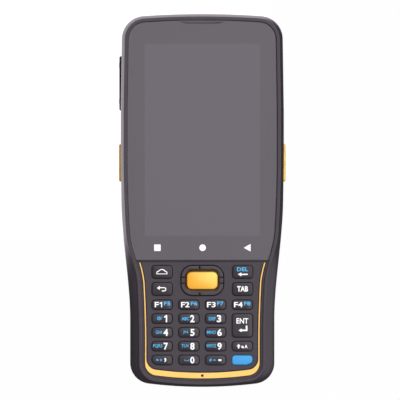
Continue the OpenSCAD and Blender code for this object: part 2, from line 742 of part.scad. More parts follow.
module key(k) {
    color(k[0] == "key_function" ? "#3d9ede" : key_c) loft([
        [key_ring(k, key_flange), key_bottom],
        [key_ring(k, key_flange), key_flange_top],
        [key_ring(k, 0), key_flange_top],
        [key_ring(k, 0), key_top - 0.5],
        [key_ring(k, -0.2), key_top - 0.15],
        [key_ring(k, -0.6), key_top]
    ]);
}

module scan_key() {
    color(yellow_c) loft([
        [scan_outline(0.35), key_bottom],
        [scan_outline(0.35), key_flange_top],
        [scan_outline(0), key_flange_top],
        [scan_outline(0), key_top - 0.5],
        [scan_outline(-0.25), key_top - 0.1],
        [scan_outline(-0.8), key_top + 0.1]
    ]);
}

// The gimbal rocks sideways on two round pivots of the mat, and carries two that the ring tilts on
pivot_r = 0.3;
pivot_len = 1.2;
function pivot_at(size) = size / 2 - gimbal_in - ring_band / 2;

// A pivot on each side of the ring's middle, on the axis along X or along Y
module pivots(r, z, along_x) {
    at = pivot_at(along_x ? ring_w : ring_h);
    translate([0, nav_y, z]) rotate(along_x ? 0 : 90) for (s = [-1, 1])
        translate([s * at - pivot_len / 2, 0, 0]) rotate([0, 90, 0]) cylinder(h = pivot_len, r = r);
}

module nav_gimbal() {
    color(steel_c) union() {
        difference() {
            translate([0, 0, gimbal_bottom]) linear_extrude(gimbal_t) difference() {
                polygon(nav_outline(-gimbal_in));
                polygon(nav_outline(-gimbal_in - ring_band - 0.1));
            }
            pivots(pivot_r + pin_gap, gimbal_bottom, false);
        }
        pivots(pivot_r, gimbal_top, true);
    }
}

module nav_ring() {
    color("#5a545b") difference() {
        union() {
            difference() {
                loft([
                    [nav_outline(0), ring_bottom],
                    [nav_outline(0), key_top - 0.5],
                    [nav_outline(-0.2), key_top - 0.12],
                    [nav_outline(-0.5), key_top]
                ]);
                slab(nav_outline(-ring_band), gimbal_bottom, key_top + over_cut);
            }
            // A foot at each side, which rests on the gimbal's pivot
            for (s = [0, 1]) mirror([s, 0, 0]) translate([pivot_at(ring_w), nav_y, 0])
                block(-pivot_len / 2 + 0.1, pivot_len / 2, -0.8, 0.8, gimbal_top + 0.1, ring_bottom + 0.3);
        }
        pivots(pivot_r + pin_gap, gimbal_top, true);
    }
}

// ---- Boards and what they carry ----

module main_board() {
    color(board_c) union() {
        difference() {
            slab(outline(body_plan, board_in, end_wall - side_wall + 0.2, end_wall - side_wall + 0.2),
                board_bottom, board_top);
            for (s = screw_spots) post(s[0], s[1], lug_r + fit_gap, board_bottom - over_cut, board_top + over_cut);
        }
        // Shield, processor and memory, each placed by its share of the display
        for (c = [[-0.29, 0.21, 0.05, 0.35, 2], [-0.31, -0.04, -0.28, -0.12, 1.4], [0.06, 0.29, -0.25, -0.14, 1.2]])
            block(c[0] * active_w, c[1] * active_w, active_y + c[2] * active_h, active_y + c[3] * active_h,
                board_top, board_top + c[4]);
        // Connector and posts under the keypad's board
        block(-ring_w / 2, ring_w / 2, nav_y - ring_h / 4, nav_y + ring_h / 4, board_top, keypad_board_bottom);
        for (x = [col_x[1], col_x[2]]) post(x * 2, row_y[4], key_h / 3, board_top, keypad_board_bottom);
    }
}

module scan_engine() {
    engine_y = wall_y - fit_gap;
    color("#2e2c33") union() {
        block(window_at - engine_w / 2, window_at + engine_w / 2, engine_y - engine_len, engine_y - 1.5,
            back_wall, board_bottom);
        for (x = [-5.5, 5]) translate([window_at + x, engine_y - 2, window_z]) rotate([-90, 0, 0])
            cylinder(h = 2, r = 2.9);
    }
}

function window_outline(grow) = round_rect(window_w + 2 * grow, window_h + 2 * grow, even(1.6 + grow));

module scan_window() {
    color("#5a1c22") out_of_end(window_at, window_z) slab(window_outline(0), window_seat, window_seat + window_t);
}

function camera_outline(grow) =
    moved(round_rect(camera_w + 2 * grow, camera_w + 2 * grow, even(2 + grow)), [camera_x, camera_y]);

module camera_module() {
    color("#232126") union() {
        block(camera_x - 4.2, camera_x + 4.2, camera_y - 4.2, camera_y + 4.2, back_wall, back_wall + 5);
        post(camera_x, camera_y, camera_w * 0.36 - 0.1, battery_lift + 1, back_wall + 0.5);
    }
}

module camera_window() {
    color("#1b1a1e") slab(camera_outline(0), battery_lift, battery_lift + 1);
}

module flash_lens() {
    color("#f3f0dc") union() {
        post(flash_x, camera_y, flash_r, battery_lift, back_wall);
        post(flash_x, camera_y, flash_r + 0.7, back_wall, back_wall + 1.2);
    }
}

module speaker() {
    color("#29272b") block(-speaker_w / 2, speaker_w / 2, speaker_y - speaker_h / 2,
        speaker_y + speaker_h / 2, back_wall, back_wall + speaker_t);
}

module microphone() {
    color(gold_c) difference() {
        block(-2, 2, mic_y - 1.1, mic_y + 1.1, ceiling_z - 1.5, ceiling_z);
        post(0, mic_y, mic_r, ceiling_z - 0.6, ceiling_z + over_cut);
    }
}

module vibration_motor() {
    color(steel_c) post(motor_x, speaker_y, motor_r, back_wall, back_wall + motor_t);
}

module charging_contacts() {
    color(gold_c) for (x = contact_x) block(x - contact_w / 2, x + contact_w / 2, contacts_y - contact_l / 2,
        contacts_y + contact_l / 2, battery_lift, back_wall + 1);
}

module usb_connector() {
    z0 = board_bottom - usb_h;
    color(steel_c) difference() {
        block(-usb_w / 2, usb_w / 2, bot_y + 0.8, bot_y + 0.8 + usb_len, z0, board_bottom);
        difference() {
            block(-usb_w / 2 + 0.4, usb_w / 2 - 0.4, bot_y, bot_y + usb_len - 0.6, z0 + 0.4, board_bottom - 0.4);
            block(-usb_w / 2 + 1.2, usb_w / 2 - 1.2, bot_y + 2, bot_y + usb_len, z0 + 1.25, board_bottom - 1.25);
        }
    }
}

module housing_screws() {
    color(steel_c) for (s = screw_spots) {
        difference() {
            post(s[0], s[1], screw_head_r, screw_seat - screw_head_t, screw_seat);
            translate([s[0], s[1], 0]) cylinder(h = screw_seat - screw_head_t + 1, r = 1.1, $fn = 6);
        }
        post(s[0], s[1], screw_r, screw_seat, screw_end);
    }
}

module strap_inserts() {
    color("#c39a4a") for (s = insert_spots) difference() {
        post(s[0], s[1], insert_r, battery_lift, insert_len);
        post(s[0], s[1], insert_bore_r, 0, insert_len - insert_floor);
    }
}

module battery_contact_pins(z0) {
    for (k = [-1:1]) block(k * contact_pitch - 1, k * contact_pitch + 1,
        battery_y0 + pin_in, battery_y0 + pin_in + pin_w, z0, board_bottom);
}

module battery_contacts() {
    color(gold_c) battery_contact_pins(bay_top);
}

// Switches on the underside of the board, behind the side keys and the power button
module side_switches() {
    z0 = side_key_z - 1.5;
    off = rocker_len / 4;
    color("#b5b1a8") {
        for (at = [[trigger_at, 1], [trigger_at, -1], [rocker_at + off, -1], [rocker_at - off, -1]])
            mirror([at[1] < 0 ? 1 : 0, 0, 0]) block(wall_x(at[0]) - switch_in - switch_t, wall_x(at[0]) - switch_in,
                at[0] - switch_w / 2, at[0] + switch_w / 2, z0, board_bottom);
        translate([power_x, wall_y - power_back - switch_in, 0])
            block(-switch_w / 2, switch_w / 2, -switch_t, 0, z0, board_bottom);
    }
}

// ---- Side keys, power button, battery and latch ----

module side_cap(cap, proud) {
    loft([
        [cap[0], -fit_gap],
        [cap[0], side_wall + proud - 0.4],
        [cap[1], side_wall + proud - 0.1],
        [cap[2], side_wall + proud]
    ]);
}

module trigger(left) {
    color(yellow_c) out_of_side(trigger_at, left) union() {
        side_cap([for (g = [0, -0.25, -0.6]) side_outline(trigger_len, trigger_h, g)], side_key_proud);
        slab(side_outline(trigger_len, trigger_h, fit_gap + flange_lap), -fit_gap - side_flange_t, -fit_gap);
    }
}

module volume_rocker() {
    color("#2b262c") out_of_side(rocker_at, true) union() {
        side_cap([for (g = [0, -0.25, -0.6]) side_outline(rocker_len, rocker_h, g)], side_key_proud);
        slab(side_outline(rocker_len * 0.6, rocker_h, fit_gap + flange_lap), -fit_gap - side_flange_t, -fit_gap);
        rocker_pin(0);
    }
}

function power_outline(grow) = round_rect(power_w + 2 * grow, power_h + 2 * grow, even(1.4 + grow));

module power_button() {
    color("#39343b") out_of_end(power_x, side_key_z, power_back) union() {
        slab(power_outline(0), -fit_gap, end_wall - 0.1);
        slab(power_outline(fit_gap + flange_lap), -fit_gap - side_flange_t, -fit_gap);
    }
}

battery_r = 3;

function battery_outline(y0, y1) =
    moved(round_rect(battery_w, y1 - y0, [0.1, battery_r, battery_r, 0.1]), [0, (y0 + y1) / 2]);
function battery_opening() =
    let (len = battery_len + 2 * fit_gap)
    moved(round_rect(2 * bay_half, len, [0.1, battery_r + fit_gap, battery_r + fit_gap, 0.1]),
        [0, (battery_y0 + battery_y1) / 2]);

module battery_pack() {
    color("#3d363e") union() {
        slab(battery_outline(battery_pin_y, battery_y1), battery_lift, battery_lift + battery_cover_t);
        slab(battery_outline(battery_y0, battery_y1 - battery_set_back), battery_pin_z, battery_top);
        translate([-battery_w / 2, battery_pin_y, battery_pin_z]) rotate([0, 90, 0])
            cylinder(h = battery_w, r = battery_barrel_r);
        translate([-bay_out + 0.1, battery_pin_y, battery_pin_z]) rotate([0, 90, 0])
            cylinder(h = 2 * bay_out - 0.2, r = battery_pin_r);
    }
}

module battery_latch() {
    flange_z = back_wall + fit_gap;
    color("#2b262c") union() {
        block(-latch_w / 2, latch_w / 2, latch_y0, latch_y1, battery_lift, flange_z);
        block(-latch_w / 2 - 1.6, latch_w / 2 + 1.6, latch_y0 - 0.2, latch_y1 + 1.6, flange_z,
            flange_z + latch_flange_t);
        block(-tongue_w / 2, tongue_w / 2, battery_y1 + 0.6, latch_y0, flange_z, flange_z + latch_flange_t);
        for (k = [0:3]) block(-latch_w / 2 + 2, latch_w / 2 - 2, latch_y0 + 1 + k * 1.4, latch_y0 + 1.6 + k * 1.4,
            battery_lift - 0.25, battery_lift);
    }
}

front_housing();
rear_housing();
housing_seal();
touch_panel();
display_module();
display_tray();
receiver_mesh();
receiver();
keypad_plate();
keypad_trim();
keypad_mat();
keypad_board();
main_board();
scan_engine();
scan_window();
camera_module();
camera_window();
flash_lens();
speaker();
microphone();
charging_contacts();
usb_connector();
housing_screws();
strap_inserts();
battery_contacts();
vibration_motor();
side_switches();
scan_key();
nav_ring();
nav_gimbal();
trigger(true);  // trigger_left
trigger(false);  // trigger_right
volume_rocker();
power_button();
battery_pack();
battery_latch();
for (k = keys) key(k);
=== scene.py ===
import bpy
import bmesh
from math import atan2, cos, pi, radians, sin, sqrt
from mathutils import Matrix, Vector


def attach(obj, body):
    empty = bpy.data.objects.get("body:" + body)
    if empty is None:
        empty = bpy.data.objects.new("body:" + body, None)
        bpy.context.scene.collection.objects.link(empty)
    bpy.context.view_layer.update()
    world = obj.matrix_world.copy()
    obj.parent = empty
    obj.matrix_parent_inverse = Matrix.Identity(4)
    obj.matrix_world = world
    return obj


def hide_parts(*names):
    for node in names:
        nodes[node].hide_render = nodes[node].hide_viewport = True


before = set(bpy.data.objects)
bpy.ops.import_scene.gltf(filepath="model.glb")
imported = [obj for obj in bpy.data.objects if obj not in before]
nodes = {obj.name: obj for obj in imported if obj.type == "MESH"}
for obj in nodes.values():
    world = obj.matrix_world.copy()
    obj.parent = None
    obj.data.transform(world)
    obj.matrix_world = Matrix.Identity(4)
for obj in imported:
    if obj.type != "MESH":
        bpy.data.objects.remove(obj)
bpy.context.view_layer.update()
mm = 0.001
print("frame:", len(nodes), "nodes")


def newObject(name, data):
    obj = bpy.data.objects.new(name, data)
    bpy.context.scene.collection.objects.link(obj)
    return obj


# the camera stands straight above the panel
camera = dict(field=181.6, lens=792, sensor=36, x=-1.03, y=0.2, focusZ=13, clipEnd=20)
standOff = camera["field"] * camera["lens"] / camera["sensor"]
cameraData = bpy.data.cameras.new("frontCamera")
cameraData.lens = camera["lens"]
cameraData.sensor_width = camera["sensor"]
cameraData.clip_end = camera["clipEnd"]
frontCamera = newObject("frontCamera", cameraData)
frontCamera.location = (camera["x"] * mm, camera["y"] * mm, (camera["focusZ"] + standOff) * mm)
bpy.context.scene.camera = frontCamera
print("camera set", round(standOff), "mm away")

# the two plan shapes that the housings follow, in mm
bodyPlan = dict(upper=37, waist=32.7, waistFrom=0, waistTo=-54, shoulder=0.4, shoulderFrom=26, shoulderTo=-14,
                top=84.55, base=-84.55, topCorner=10.5, baseCorner=9.5, topArc=380, baseArc=200)
frontPlan = dict(upper=35.6, waist=28.65, waistFrom=-14, waistTo=-38, shoulder=3.1, shoulderFrom=18,
                 shoulderTo=-64, top=83.3, base=-83.4, topCorner=9.5, baseCorner=8.3, topArc=380, baseArc=160)
shell = dict(taper=0.5, taperFrom=40, frontFrom=16.8, rim=26, sideWall=2.2, endWall=3.2, backWall=2)
stepY = -27.8  # here the front drops from the panel's level to the keypad's

endSteps, cornerSteps = 8, 14
sidePoints = dict(base=-71, pitch=2.84, count=51, stepMiddle=-27.2, stepReach=2.4)
stepYs = [-24.9, -25.7, -26.3, -26.7, -27.0, -27.3, -27.6, -28.0, -28.5, -29.4]  # closer points at the step
sideYs = [sidePoints["base"] + sidePoints["pitch"] * k for k in range(sidePoints["count"])]
sideYs = sorted([y for y in sideYs if abs(y - sidePoints["stepMiddle"]) > sidePoints["stepReach"]] + stepYs)


def ease(t):
    t = min(1, max(0, t))
    return t * t * (3 - 2 * t)


def halfAt(plan, y):
    bend = ease((plan["waistFrom"] - y) / (plan["waistFrom"] - plan["waistTo"]))
    slope = ease((plan["shoulderFrom"] - y) / (plan["shoulderFrom"] - plan["shoulderTo"]))
    lean = min(1, max(0, (y - shell["taperFrom"]) / (plan["top"] - plan["topCorner"] - shell["taperFrom"])))
    drop = plan["upper"] - plan["waist"] - plan["shoulder"]
    return plan["upper"] - plan["shoulder"] * slope - drop * bend - shell["taper"] * lean


def arcPoints(cx, cy, r, start, end, steps, ry=None):
    angles = [start + (end - start) * k / steps for k in range(steps + 1)]
    return [(cx + r * cos(a), cy + (r if ry is None else ry) * sin(a)) for a in angles]


def rightSide(plan, inset=0, topIn=0, baseIn=0, upperInset=None):
    upper = inset if upperInset is None else upperInset
    wideBase, wideTop = halfAt(plan, plan["base"]) - inset, halfAt(plan, plan["top"]) - upper
    rb, rt = max(1, plan["baseCorner"] - inset), max(1, plan["topCorner"] - upper)
    bx, tx = wideBase - rb, wideTop - rt
    baseMid = plan["base"] + inset + baseIn + plan["baseArc"]
    topMid = plan["top"] - upper - topIn - plan["topArc"]
    by = baseMid - sqrt((plan["baseArc"] - rb) ** 2 - bx * bx)
    ty = topMid + sqrt((plan["topArc"] - rt) ** 2 - tx * tx)
    baseAngle, topAngle = atan2(by - baseMid, bx), atan2(ty - topMid, tx)
    points = arcPoints(0, baseMid, plan["baseArc"], -pi / 2, baseAngle, endSteps)[:-1]
    points += arcPoints(bx, by, rb, baseAngle, 0, cornerSteps)
    for y in sideYs:
        points.append((halfAt(plan, y) - inset - (upper - inset) * ease(y - stepY), y))
    points += arcPoints(tx, ty, rt, 0, topAngle, cornerSteps)
    points += arcPoints(0, topMid, plan["topArc"], topAngle, pi / 2, endSteps)[1:]
    return points


def mirrored(points):
    return points + [(-x, y) for x, y in reversed(points[1:-1])]


def outlineOf(plan, inset=0, topIn=0, baseIn=0, upperInset=None):
    return mirrored(rightSide(plan, inset, topIn, baseIn, upperInset))


def blended(a, b, t):
    return [(p[0] + (q[0] - p[0]) * t, p[1] + (q[1] - p[1]) * t) for p, q in zip(a, b)]


def roundRect(w, h, radii, cx=0, cy=0, steps=6):
    points = []
    for k, (sx, sy) in enumerate(((1, -1), (1, 1), (-1, 1), (-1, -1))):
        rx, ry = (max(0.05, min(radii[k], side / 2 - 0.01)) for side in (w, h))
        x, y = cx + sx * (w / 2 - rx), cy + sy * (h / 2 - ry)
        start = (k - 1) * pi / 2
        points += arcPoints(x, y, rx, start, start + pi / 2, steps, ry)
    return points


def asObject(mesh, name, sharp=38):
    mesh.shade_smooth()
    mesh.set_sharp_from_angle(angle=radians(sharp))
    for face in mesh.polygons:  # level faces stay flat, so that no rounding beside them bends their shading
        if abs(face.normal.z) > 0.999999:
            face.use_smooth = False
    return newObject(name, mesh)


def meshFrom(bm, name):
    mesh = bpy.data.meshes.new(name)
    bm.to_mesh(mesh)
    bm.free()
    return mesh


def finishMesh(bm, name, sharp=38):
    bmesh.ops.recalc_face_normals(bm, faces=bm.faces[:])
    return asObject(meshFrom(bm, name), name, sharp)


def bridge(bm, rings, wrap=False):
    pairs = list(zip(rings, rings[1:])) + ([(rings[-1], rings[0])] if wrap else [])
    for lower, upper in pairs:
        n = len(lower)
        for j in range(n):
            bm.faces.new((lower[j], lower[(j + 1) % n], upper[(j + 1) % n], upper[j]))


def vertRing(bm, points):
    return [bm.verts.new((p[0] * mm, p[1] * mm, p[2] * mm)) for p in points]


def atHeight(points, z):
    return [(x, y, z) for x, y in points]


def bridgeAndCap(bm, rings):
    bridge(bm, rings)
    bm.faces.new(list(reversed(rings[0])))
    bm.faces.new(rings[-1])


# a quarter round in small steps: how far in and how far up each lies
def roundSteps(r, steps):
    angles = [pi / 2 * k / steps for k in range(steps + 1)]
    return [(r * (1 - cos(a)), r * sin(a)) for a in angles]


def closedLoft(name, rings, sharp=38):
    bm = bmesh.new()
    bridgeAndCap(bm, [vertRing(bm, r) for r in rings])
    return finishMesh(bm, name, sharp)


def framedLoft(name, rings, sharp=38):
    bm = bmesh.new()
    bridge(bm, [vertRing(bm, r) for r in rings], wrap=True)
    return finishMesh(bm, name, sharp)


# a flat solid: each contour gives its points for an inset, the first is the outside and the rest are holes
def platedSolid(name, contours, low, high, fillet=0.15, steps=3):
    bm = bmesh.new()
    caps = ([], [])
    levels = [(0, low)] + [(inset, high - fillet + up) for inset, up in roundSteps(fillet, steps)]
    for contour in contours:
        rings = [vertRing(bm, atHeight(contour(inset), z)) for inset, z in levels]
        bridge(bm, rings)
        for ends, edges in zip((rings[0], rings[-1]), caps):
            edges.extend(bm.edges.get((ends[j], ends[(j + 1) % len(ends)])) for j in range(len(ends)))
    for edges in caps:
        bmesh.ops.triangle_fill(bm, use_beauty=True, edges=edges)
    return finishMesh(bm, name)


def blockSolid(name, x0, x1, y0, y1, z0, z1, bevel=0.2):
    bm = bmesh.new()
    bmesh.ops.create_cube(bm, size=1)
    for v in bm.verts:
        v.co = Vector(((x0 if v.co.x < 0 else x1) * mm, (y0 if v.co.y < 0 else y1) * mm,
                       (z0 if v.co.z < 0 else z1) * mm))
    if bevel:
        bmesh.ops.bevel(bm, geom=bm.edges[:], offset=bevel * mm, segments=2, affect="EDGES", profile=0.7)
    return finishMesh(bm, name)


def barSolid(name, start, end, r, sides=32, bevel=0.0):
    bm = bmesh.new()
    axis = Vector(end) - Vector(start)
    turn = axis.to_track_quat("Z", "Y").to_matrix()
    levels = [(r, 0), (r, axis.length)]
    if bevel:
        levels = [(r - bevel, 0), (r, bevel), (r, axis.length - bevel), (r - bevel, axis.length)]
    rings = []
    for radius, along in levels:
        circle = arcPoints(0, 0, radius, 0, 2 * pi, sides)[:-1]
        rings.append(vertRing(bm, [turn @ Vector((x, y, along)) + Vector(start) for x, y in circle]))
    bridgeAndCap(bm, rings)
    return finishMesh(bm, name)


def joined(name, parts, sharp=38):
    bm = bmesh.new()
    for part in parts:
        bm.from_mesh(part.data)
        bpy.data.objects.remove(part)
    return asObject(meshFrom(bm, name), name, sharp)


def evaluatedMesh(obj):
    graph = bpy.context.evaluated_depsgraph_get()
    return bpy.data.meshes.new_from_object(obj.evaluated_get(graph))


def carve(target, cutters, sharp=38):
    group = bpy.data.collections.new("cutters")
    for cutter in cutters:
        group.objects.link(cutter)
    modifier = target.modifiers.new("carve", "BOOLEAN")
    modifier.operand_type = "COLLECTION"
    modifier.collection = group
    modifier.solver = "EXACT"
    mesh = evaluatedMesh(target)
    name = target.name
    for obj in [target] + list(cutters):
        bpy.data.objects.remove(obj)
    bpy.data.collections.remove(group)
    return asObject(mesh, name, sharp)


def dress(obj, material, body, replaced=()):
    obj.data.materials.clear()
    obj.data.materials.append(material)
    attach(obj, body)
    if replaced:
        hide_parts(*replaced)
    return obj


def linear(code):
    parts = [int(code[k:k + 2], 16) / 255 for k in (0, 2, 4)]
    return tuple(c / 12.92 if c <= 0.04045 else ((c + 0.055) / 1.055) ** 2.4 for c in parts) + (1.0,)


def setInputs(tree, node, values):
    for socket, value in values.items():
        if isinstance(value, bpy.types.NodeSocket):
            tree.links.new(value, node.inputs[socket])
        else:
            node.inputs[socket].default_value = value


def addNode(tree, kind, values=None, **settings):
    node = tree.nodes.new(kind)
    for key, value in settings.items():
        setattr(node, key, value)
    setInputs(tree, node, values or {})
    return node


def mathNode(tree, kind, *values, clamp=False):
    node = addNode(tree, "ShaderNodeMath", dict(enumerate(values)), operation=kind, use_clamp=clamp)
    return node.outputs[0]


def ramp(tree, value, start=0, end=1, low=0, high=1):
    limits = {"From Min": start, "From Max": end, "To Min": low, "To Max": high}
    return addNode(tree, "ShaderNodeMapRange", {"Value": value, **limits}).outputs["Result"]


def mixColours(tree, mask, a, b):
    return addNode(tree, "ShaderNodeMix", {0: mask, 6: a, 7: b}, data_type="RGBA").outputs[2]


def objectPlace(tree):
    return addNode(tree, "ShaderNodeTexCoord").outputs["Object"]


def axesOf(tree, vector):
    return addNode(tree, "ShaderNodeSeparateXYZ", {"Vector": vector}).outputs


def newGroup(name, inputs, outputs):
    tree = bpy.data.node_groups.new(name, "ShaderNodeTree")
    for label, value in inputs:
        tree.interface.new_socket(label, in_out="INPUT", socket_type="NodeSocketFloat").default_value = value
    for label in outputs:
        tree.interface.new_socket(label, in_out="OUTPUT", socket_type="NodeSocketFloat")
    return tree, tree.nodes.new("NodeGroupInput"), tree.nodes.new("NodeGroupOutput")


# fine moulded texture: a height for the bump and a slow tone that shifts colour and gloss
grainTree, grainIn, grainOut = newGroup("mouldedGrain", [("Grain", 4000.0), ("Patch", 60.0)],
                                        ["Height", "Tone"])
grainPlace = objectPlace(grainTree)
for scale, detail, result in (("Grain", 2, "Height"), ("Patch", 3, "Tone")):
    noise = addNode(grainTree, "ShaderNodeTexNoise",
                    {"Vector": grainPlace, "Scale": grainIn.outputs[scale], "Detail": detail})
    grainTree.links.new(noise.outputs["Fac"], grainOut.inputs[result])

# brushed streaks along X for stamped and plated metal
brushTree, brushIn, brushOut = newGroup("brushedStreaks", [("Streaks", 900.0)], ["Height", "Tone"])
drawnOut = addNode(brushTree, "ShaderNodeMapping", {"Vector": objectPlace(brushTree), "Scale": (0.06, 1, 1)})
streaks = addNode(brushTree, "ShaderNodeTexNoise",
                  {"Vector": drawnOut.outputs["Vector"], "Scale": brushIn.outputs["Streaks"]})
for result in ("Height", "Tone"):
    brushTree.links.new(streaks.outputs["Fac"], brushOut.inputs[result])

# a soft-edged rectangle on the XY plane, 1 inside
windowTree, windowIn, windowOut = newGroup(
    "softRectangle", [("CentreX", 0.0), ("CentreY", 0.0), ("HalfWidth", 0.01), ("HalfHeight", 0.01),
                      ("Soft", 0.0002)], ["Mask"])
windowAxes = axesOf(windowTree, objectPlace(windowTree))
fades = []
for axis, centre, half in (("X", "CentreX", "HalfWidth"), ("Y", "CentreY", "HalfHeight")):
    away = mathNode(windowTree, "SUBTRACT", windowAxes[axis], windowIn.outputs[centre])
    room = mathNode(windowTree, "SUBTRACT", windowIn.outputs[half], mathNode(windowTree, "ABSOLUTE", away))
    fades.append(mathNode(windowTree, "DIVIDE", room, windowIn.outputs["Soft"], clamp=True))
windowTree.links.new(mathNode(windowTree, "MULTIPLY", *fades), windowOut.inputs["Mask"])


def makeMaterial(name, dark, light, rough=(0.4, 0.5), grain=4000, patch=60, bump=0.15, depth=0.02,
                 metallic=0.0, specular=0.5, coat=0.0, coatRough=0.1, brushed=False, sheen=0.0):
    material = bpy.data.materials.new(name)
    material.use_nodes = True
    tree = material.node_tree
    if brushed:
        texture = addNode(tree, "ShaderNodeGroup", {"Streaks": grain}, node_tree=brushTree)
    else:
        texture = addNode(tree, "ShaderNodeGroup", {"Grain": grain, "Patch": patch}, node_tree=grainTree)
    tone, height = texture.outputs["Tone"], texture.outputs["Height"]
    colour = mixColours(tree, ramp(tree, tone, 0.3, 0.7), linear(dark), linear(light))
    relief = addNode(tree, "ShaderNodeBump", {"Height": height, "Strength": bump, "Distance": depth * mm})
    setInputs(tree, tree.nodes["Principled BSDF"], {
        "Base Color": colour, "Roughness": ramp(tree, tone, low=rough[0], high=rough[1]),
        "Normal": relief.outputs["Normal"], "Metallic": metallic, "Specular IOR Level": specular,
        "Coat Weight": coat, "Coat Roughness": coatRough, "Sheen Weight": sheen})
    return material


# lays a tone over a material's colour where the mask is light
def tintOver(material, mask, tone):
    tree = material.node_tree
    base = tree.nodes["Principled BSDF"].inputs["Base Color"]
    tree.links.new(mixColours(tree, mask, base.links[0].from_socket, linear(tone)), base)


materials = dict(
    housing=makeMaterial("housingPlastic", "3c353d", "3f3840", (0.34, 0.4), 5200, 45, 0.2, 0.02, coat=0.15,
                         coatRough=0.22),
    plate=makeMaterial("keypadPlatePlastic", "3d363e", "403941", (0.45, 0.52), 5200, 45, 0.25, 0.03),
    panel=makeMaterial("touchPanelGlass", "565258", "58545a", (0.22, 0.26), 900, 20, 0.02, 0.01),
    # the two trigger yellows are lit and shaded copies of one plastic: the left one darker as painted shade,
    # the right one lighter as painted light
    yellow=makeMaterial("triggerYellowPaintedShade", "cc9230", "d29a38", (0.4, 0.46), 3000, 60, 0.08, 0.01, specular=0.2),
    triggerYellowLit=makeMaterial("triggerYellowPaintedLight", "fdca44", "ffd14e", (0.3, 0.36), 3000, 60, 0.08, 0.01),
    scan=makeMaterial("scanKeyPlastic", "eca52e", "f0ab36", (0.24, 0.3), 3000, 60, 0.06, 0.01, coat=0.3),
    trim=makeMaterial("trimPlastic", "f8c366", "fbcb6e", (0.3, 0.36), 3000, 60, 0.08, 0.01, coat=0.2),
    keyDark=makeMaterial("keyPlastic", "2f2a30", "332e34", (0.3, 0.36), 3600, 80, 0.1, 0.015),
    keyBlue=makeMaterial("blueKeyPlastic", "3a96d4", "3f9bd9", (0.3, 0.36), 3600, 80, 0.1, 0.015),
    printWhite=makeMaterial("whitePrint", "f4f3f5", "ffffff", (0.45, 0.5), 3000, 90, 0.05, 0.01),
    printBlue=makeMaterial("bluePrint", "4bb3ea", "50b8ef", (0.45, 0.5), 3000, 90, 0.05, 0.01),
    rocker=makeMaterial("blackRubber", "1d181f", "231e25", (0.5, 0.6), 4200, 60, 0.3, 0.03),
    ring=makeMaterial("ringPlastic", "3f3940", "443e45", (0.28, 0.34), 3600, 60, 0.1, 0.015),
    # the throat's brown is a painted reflection of the yellow scan key
    throat=makeMaterial("throatPaintedReflection", "33241c", "3a2a20", (0.25, 0.3), 3600, 60, 0.05, 0.01),
    # navy-black band under the trim: painted shade in the gaps beside it
    groove=makeMaterial("gapPaintedShade", "15162b", "191a31", (0.5, 0.6), 4200, 60, 0.2, 0.02),
    seal=makeMaterial("sealRubber", "1a171b", "221e23", (0.6, 0.75), 4200, 60, 0.4, 0.03),
    mat=makeMaterial("matSilicone", "252126", "2b272c", (0.55, 0.65), 3000, 60, 0.2, 0.02, sheen=0.1),
    display=makeMaterial("displayFilm", "2b2930", "33313a", (0.12, 0.18), 1500, 40, 0.02, 0.01),
    tray=makeMaterial("stampedAluminium", "a9abae", "b9bbbe", (0.3, 0.45), 900, 40, 0.2, 0.02, metallic=1,
                      brushed=True),
    board=makeMaterial("boardLacquer", "1f5a38", "2b6b45", (0.3, 0.4), 1400, 160, 0.2, 0.03, coat=0.3),
    steel=makeMaterial("platedSteel", "a5a8ac", "bcbfc2", (0.25, 0.4), 1100, 40, 0.2, 0.02, metallic=1,
                       brushed=True),
    gold=makeMaterial("goldPlate", "c9a24a", "dcb85e", (0.2, 0.32), 1100, 40, 0.15, 0.02, metallic=1,
                      brushed=True),
    module=makeMaterial("modulePlastic", "211f24", "2a282e", (0.4, 0.5), 3600, 60, 0.2, 0.02),
    window=makeMaterial("redFilter", "3a0c12", "46121a", (0.08, 0.12), 1500, 40, 0.02, 0.01, coat=0.6,
                        coatRough=0.05),
    lens=makeMaterial("milkyLens", "ece9d8", "f5f2e2", (0.15, 0.22), 1500, 90, 0.04, 0.01, coat=0.4),
    cameraGlass=makeMaterial("cameraGlass", "0d0c10", "131217", (0.05, 0.08), 1500, 40, 0.01, 0.01, coat=0.8,
                             coatRough=0.03),
    # black that stands for the shade inside holes and cuts: painted shade
    holeShade=makeMaterial("paintedHoleShade", "0e0c10", "141116", (0.8, 0.9), specular=0.1),
    mesh=makeMaterial("acousticMesh", "5e5a61", "645f68", (0.45, 0.55), 3600, 90, 0.2, 0.02),
)
print("materials:", len(materials))

# front housing: a frame from the seam up over the rim and down into the recess
front = dict(rimInset=1.5, rimRound=0.2, panelSeat=24.2, plateSeat=23.7, stepLength=0.8, wideFrom=2,
             wideBaseIn=0.2, ledgeInset=4.5, ledgeBaseIn=2.4, ceiling=22.3, wallMix=0.4, barY=-27.5,
             barInset=1.8, barLow=-27.86, barHigh=-26.88, barBase=24.9, barTop=25.5, barEdge=0.1,
             barSlope=(0.16, 0.06))
foldLevels = [(16.8, 0.012), (17.1, 0), (18.2, 0.06), (19.3, 0.15), (20.4, 0.26), (21.5, 0.39), (22.5, 0.53),
              (23.5, 0.68), (24.4, 0.84), (25.3, 0.98)]
# inner edge of the rim, from the top down: inset and height beside the panel, then beside the keypad
rimSteps = [((1.34, 26), (1.16, 26)), ((1.45, 25.95), (1.28, 25.94)), ((1.5, 25.84), (1.36, 25.8)),
            ((1.5, 25.2), (1.42, 24.75)), ((1.5, 25.16), (1.72, 24.7)), ((1.5, 25.14), (1.78, 25.04)),
            ((1.5, 25.1), (2.2, 25.04)), ((1.5, 25.0), (2.3, 24.94)), ((1.5, 24.2), (2.3, 23.7))]


def innerWall(plan):
    endExtra = shell["endWall"] - shell["sideWall"]
    return outlineOf(plan, shell["sideWall"], endExtra, endExtra)


def stepped(outline, low, high):
    return [(x, y, low + (high - low) * ease((y - stepY) / front["stepLength"])) for x, y in outline]


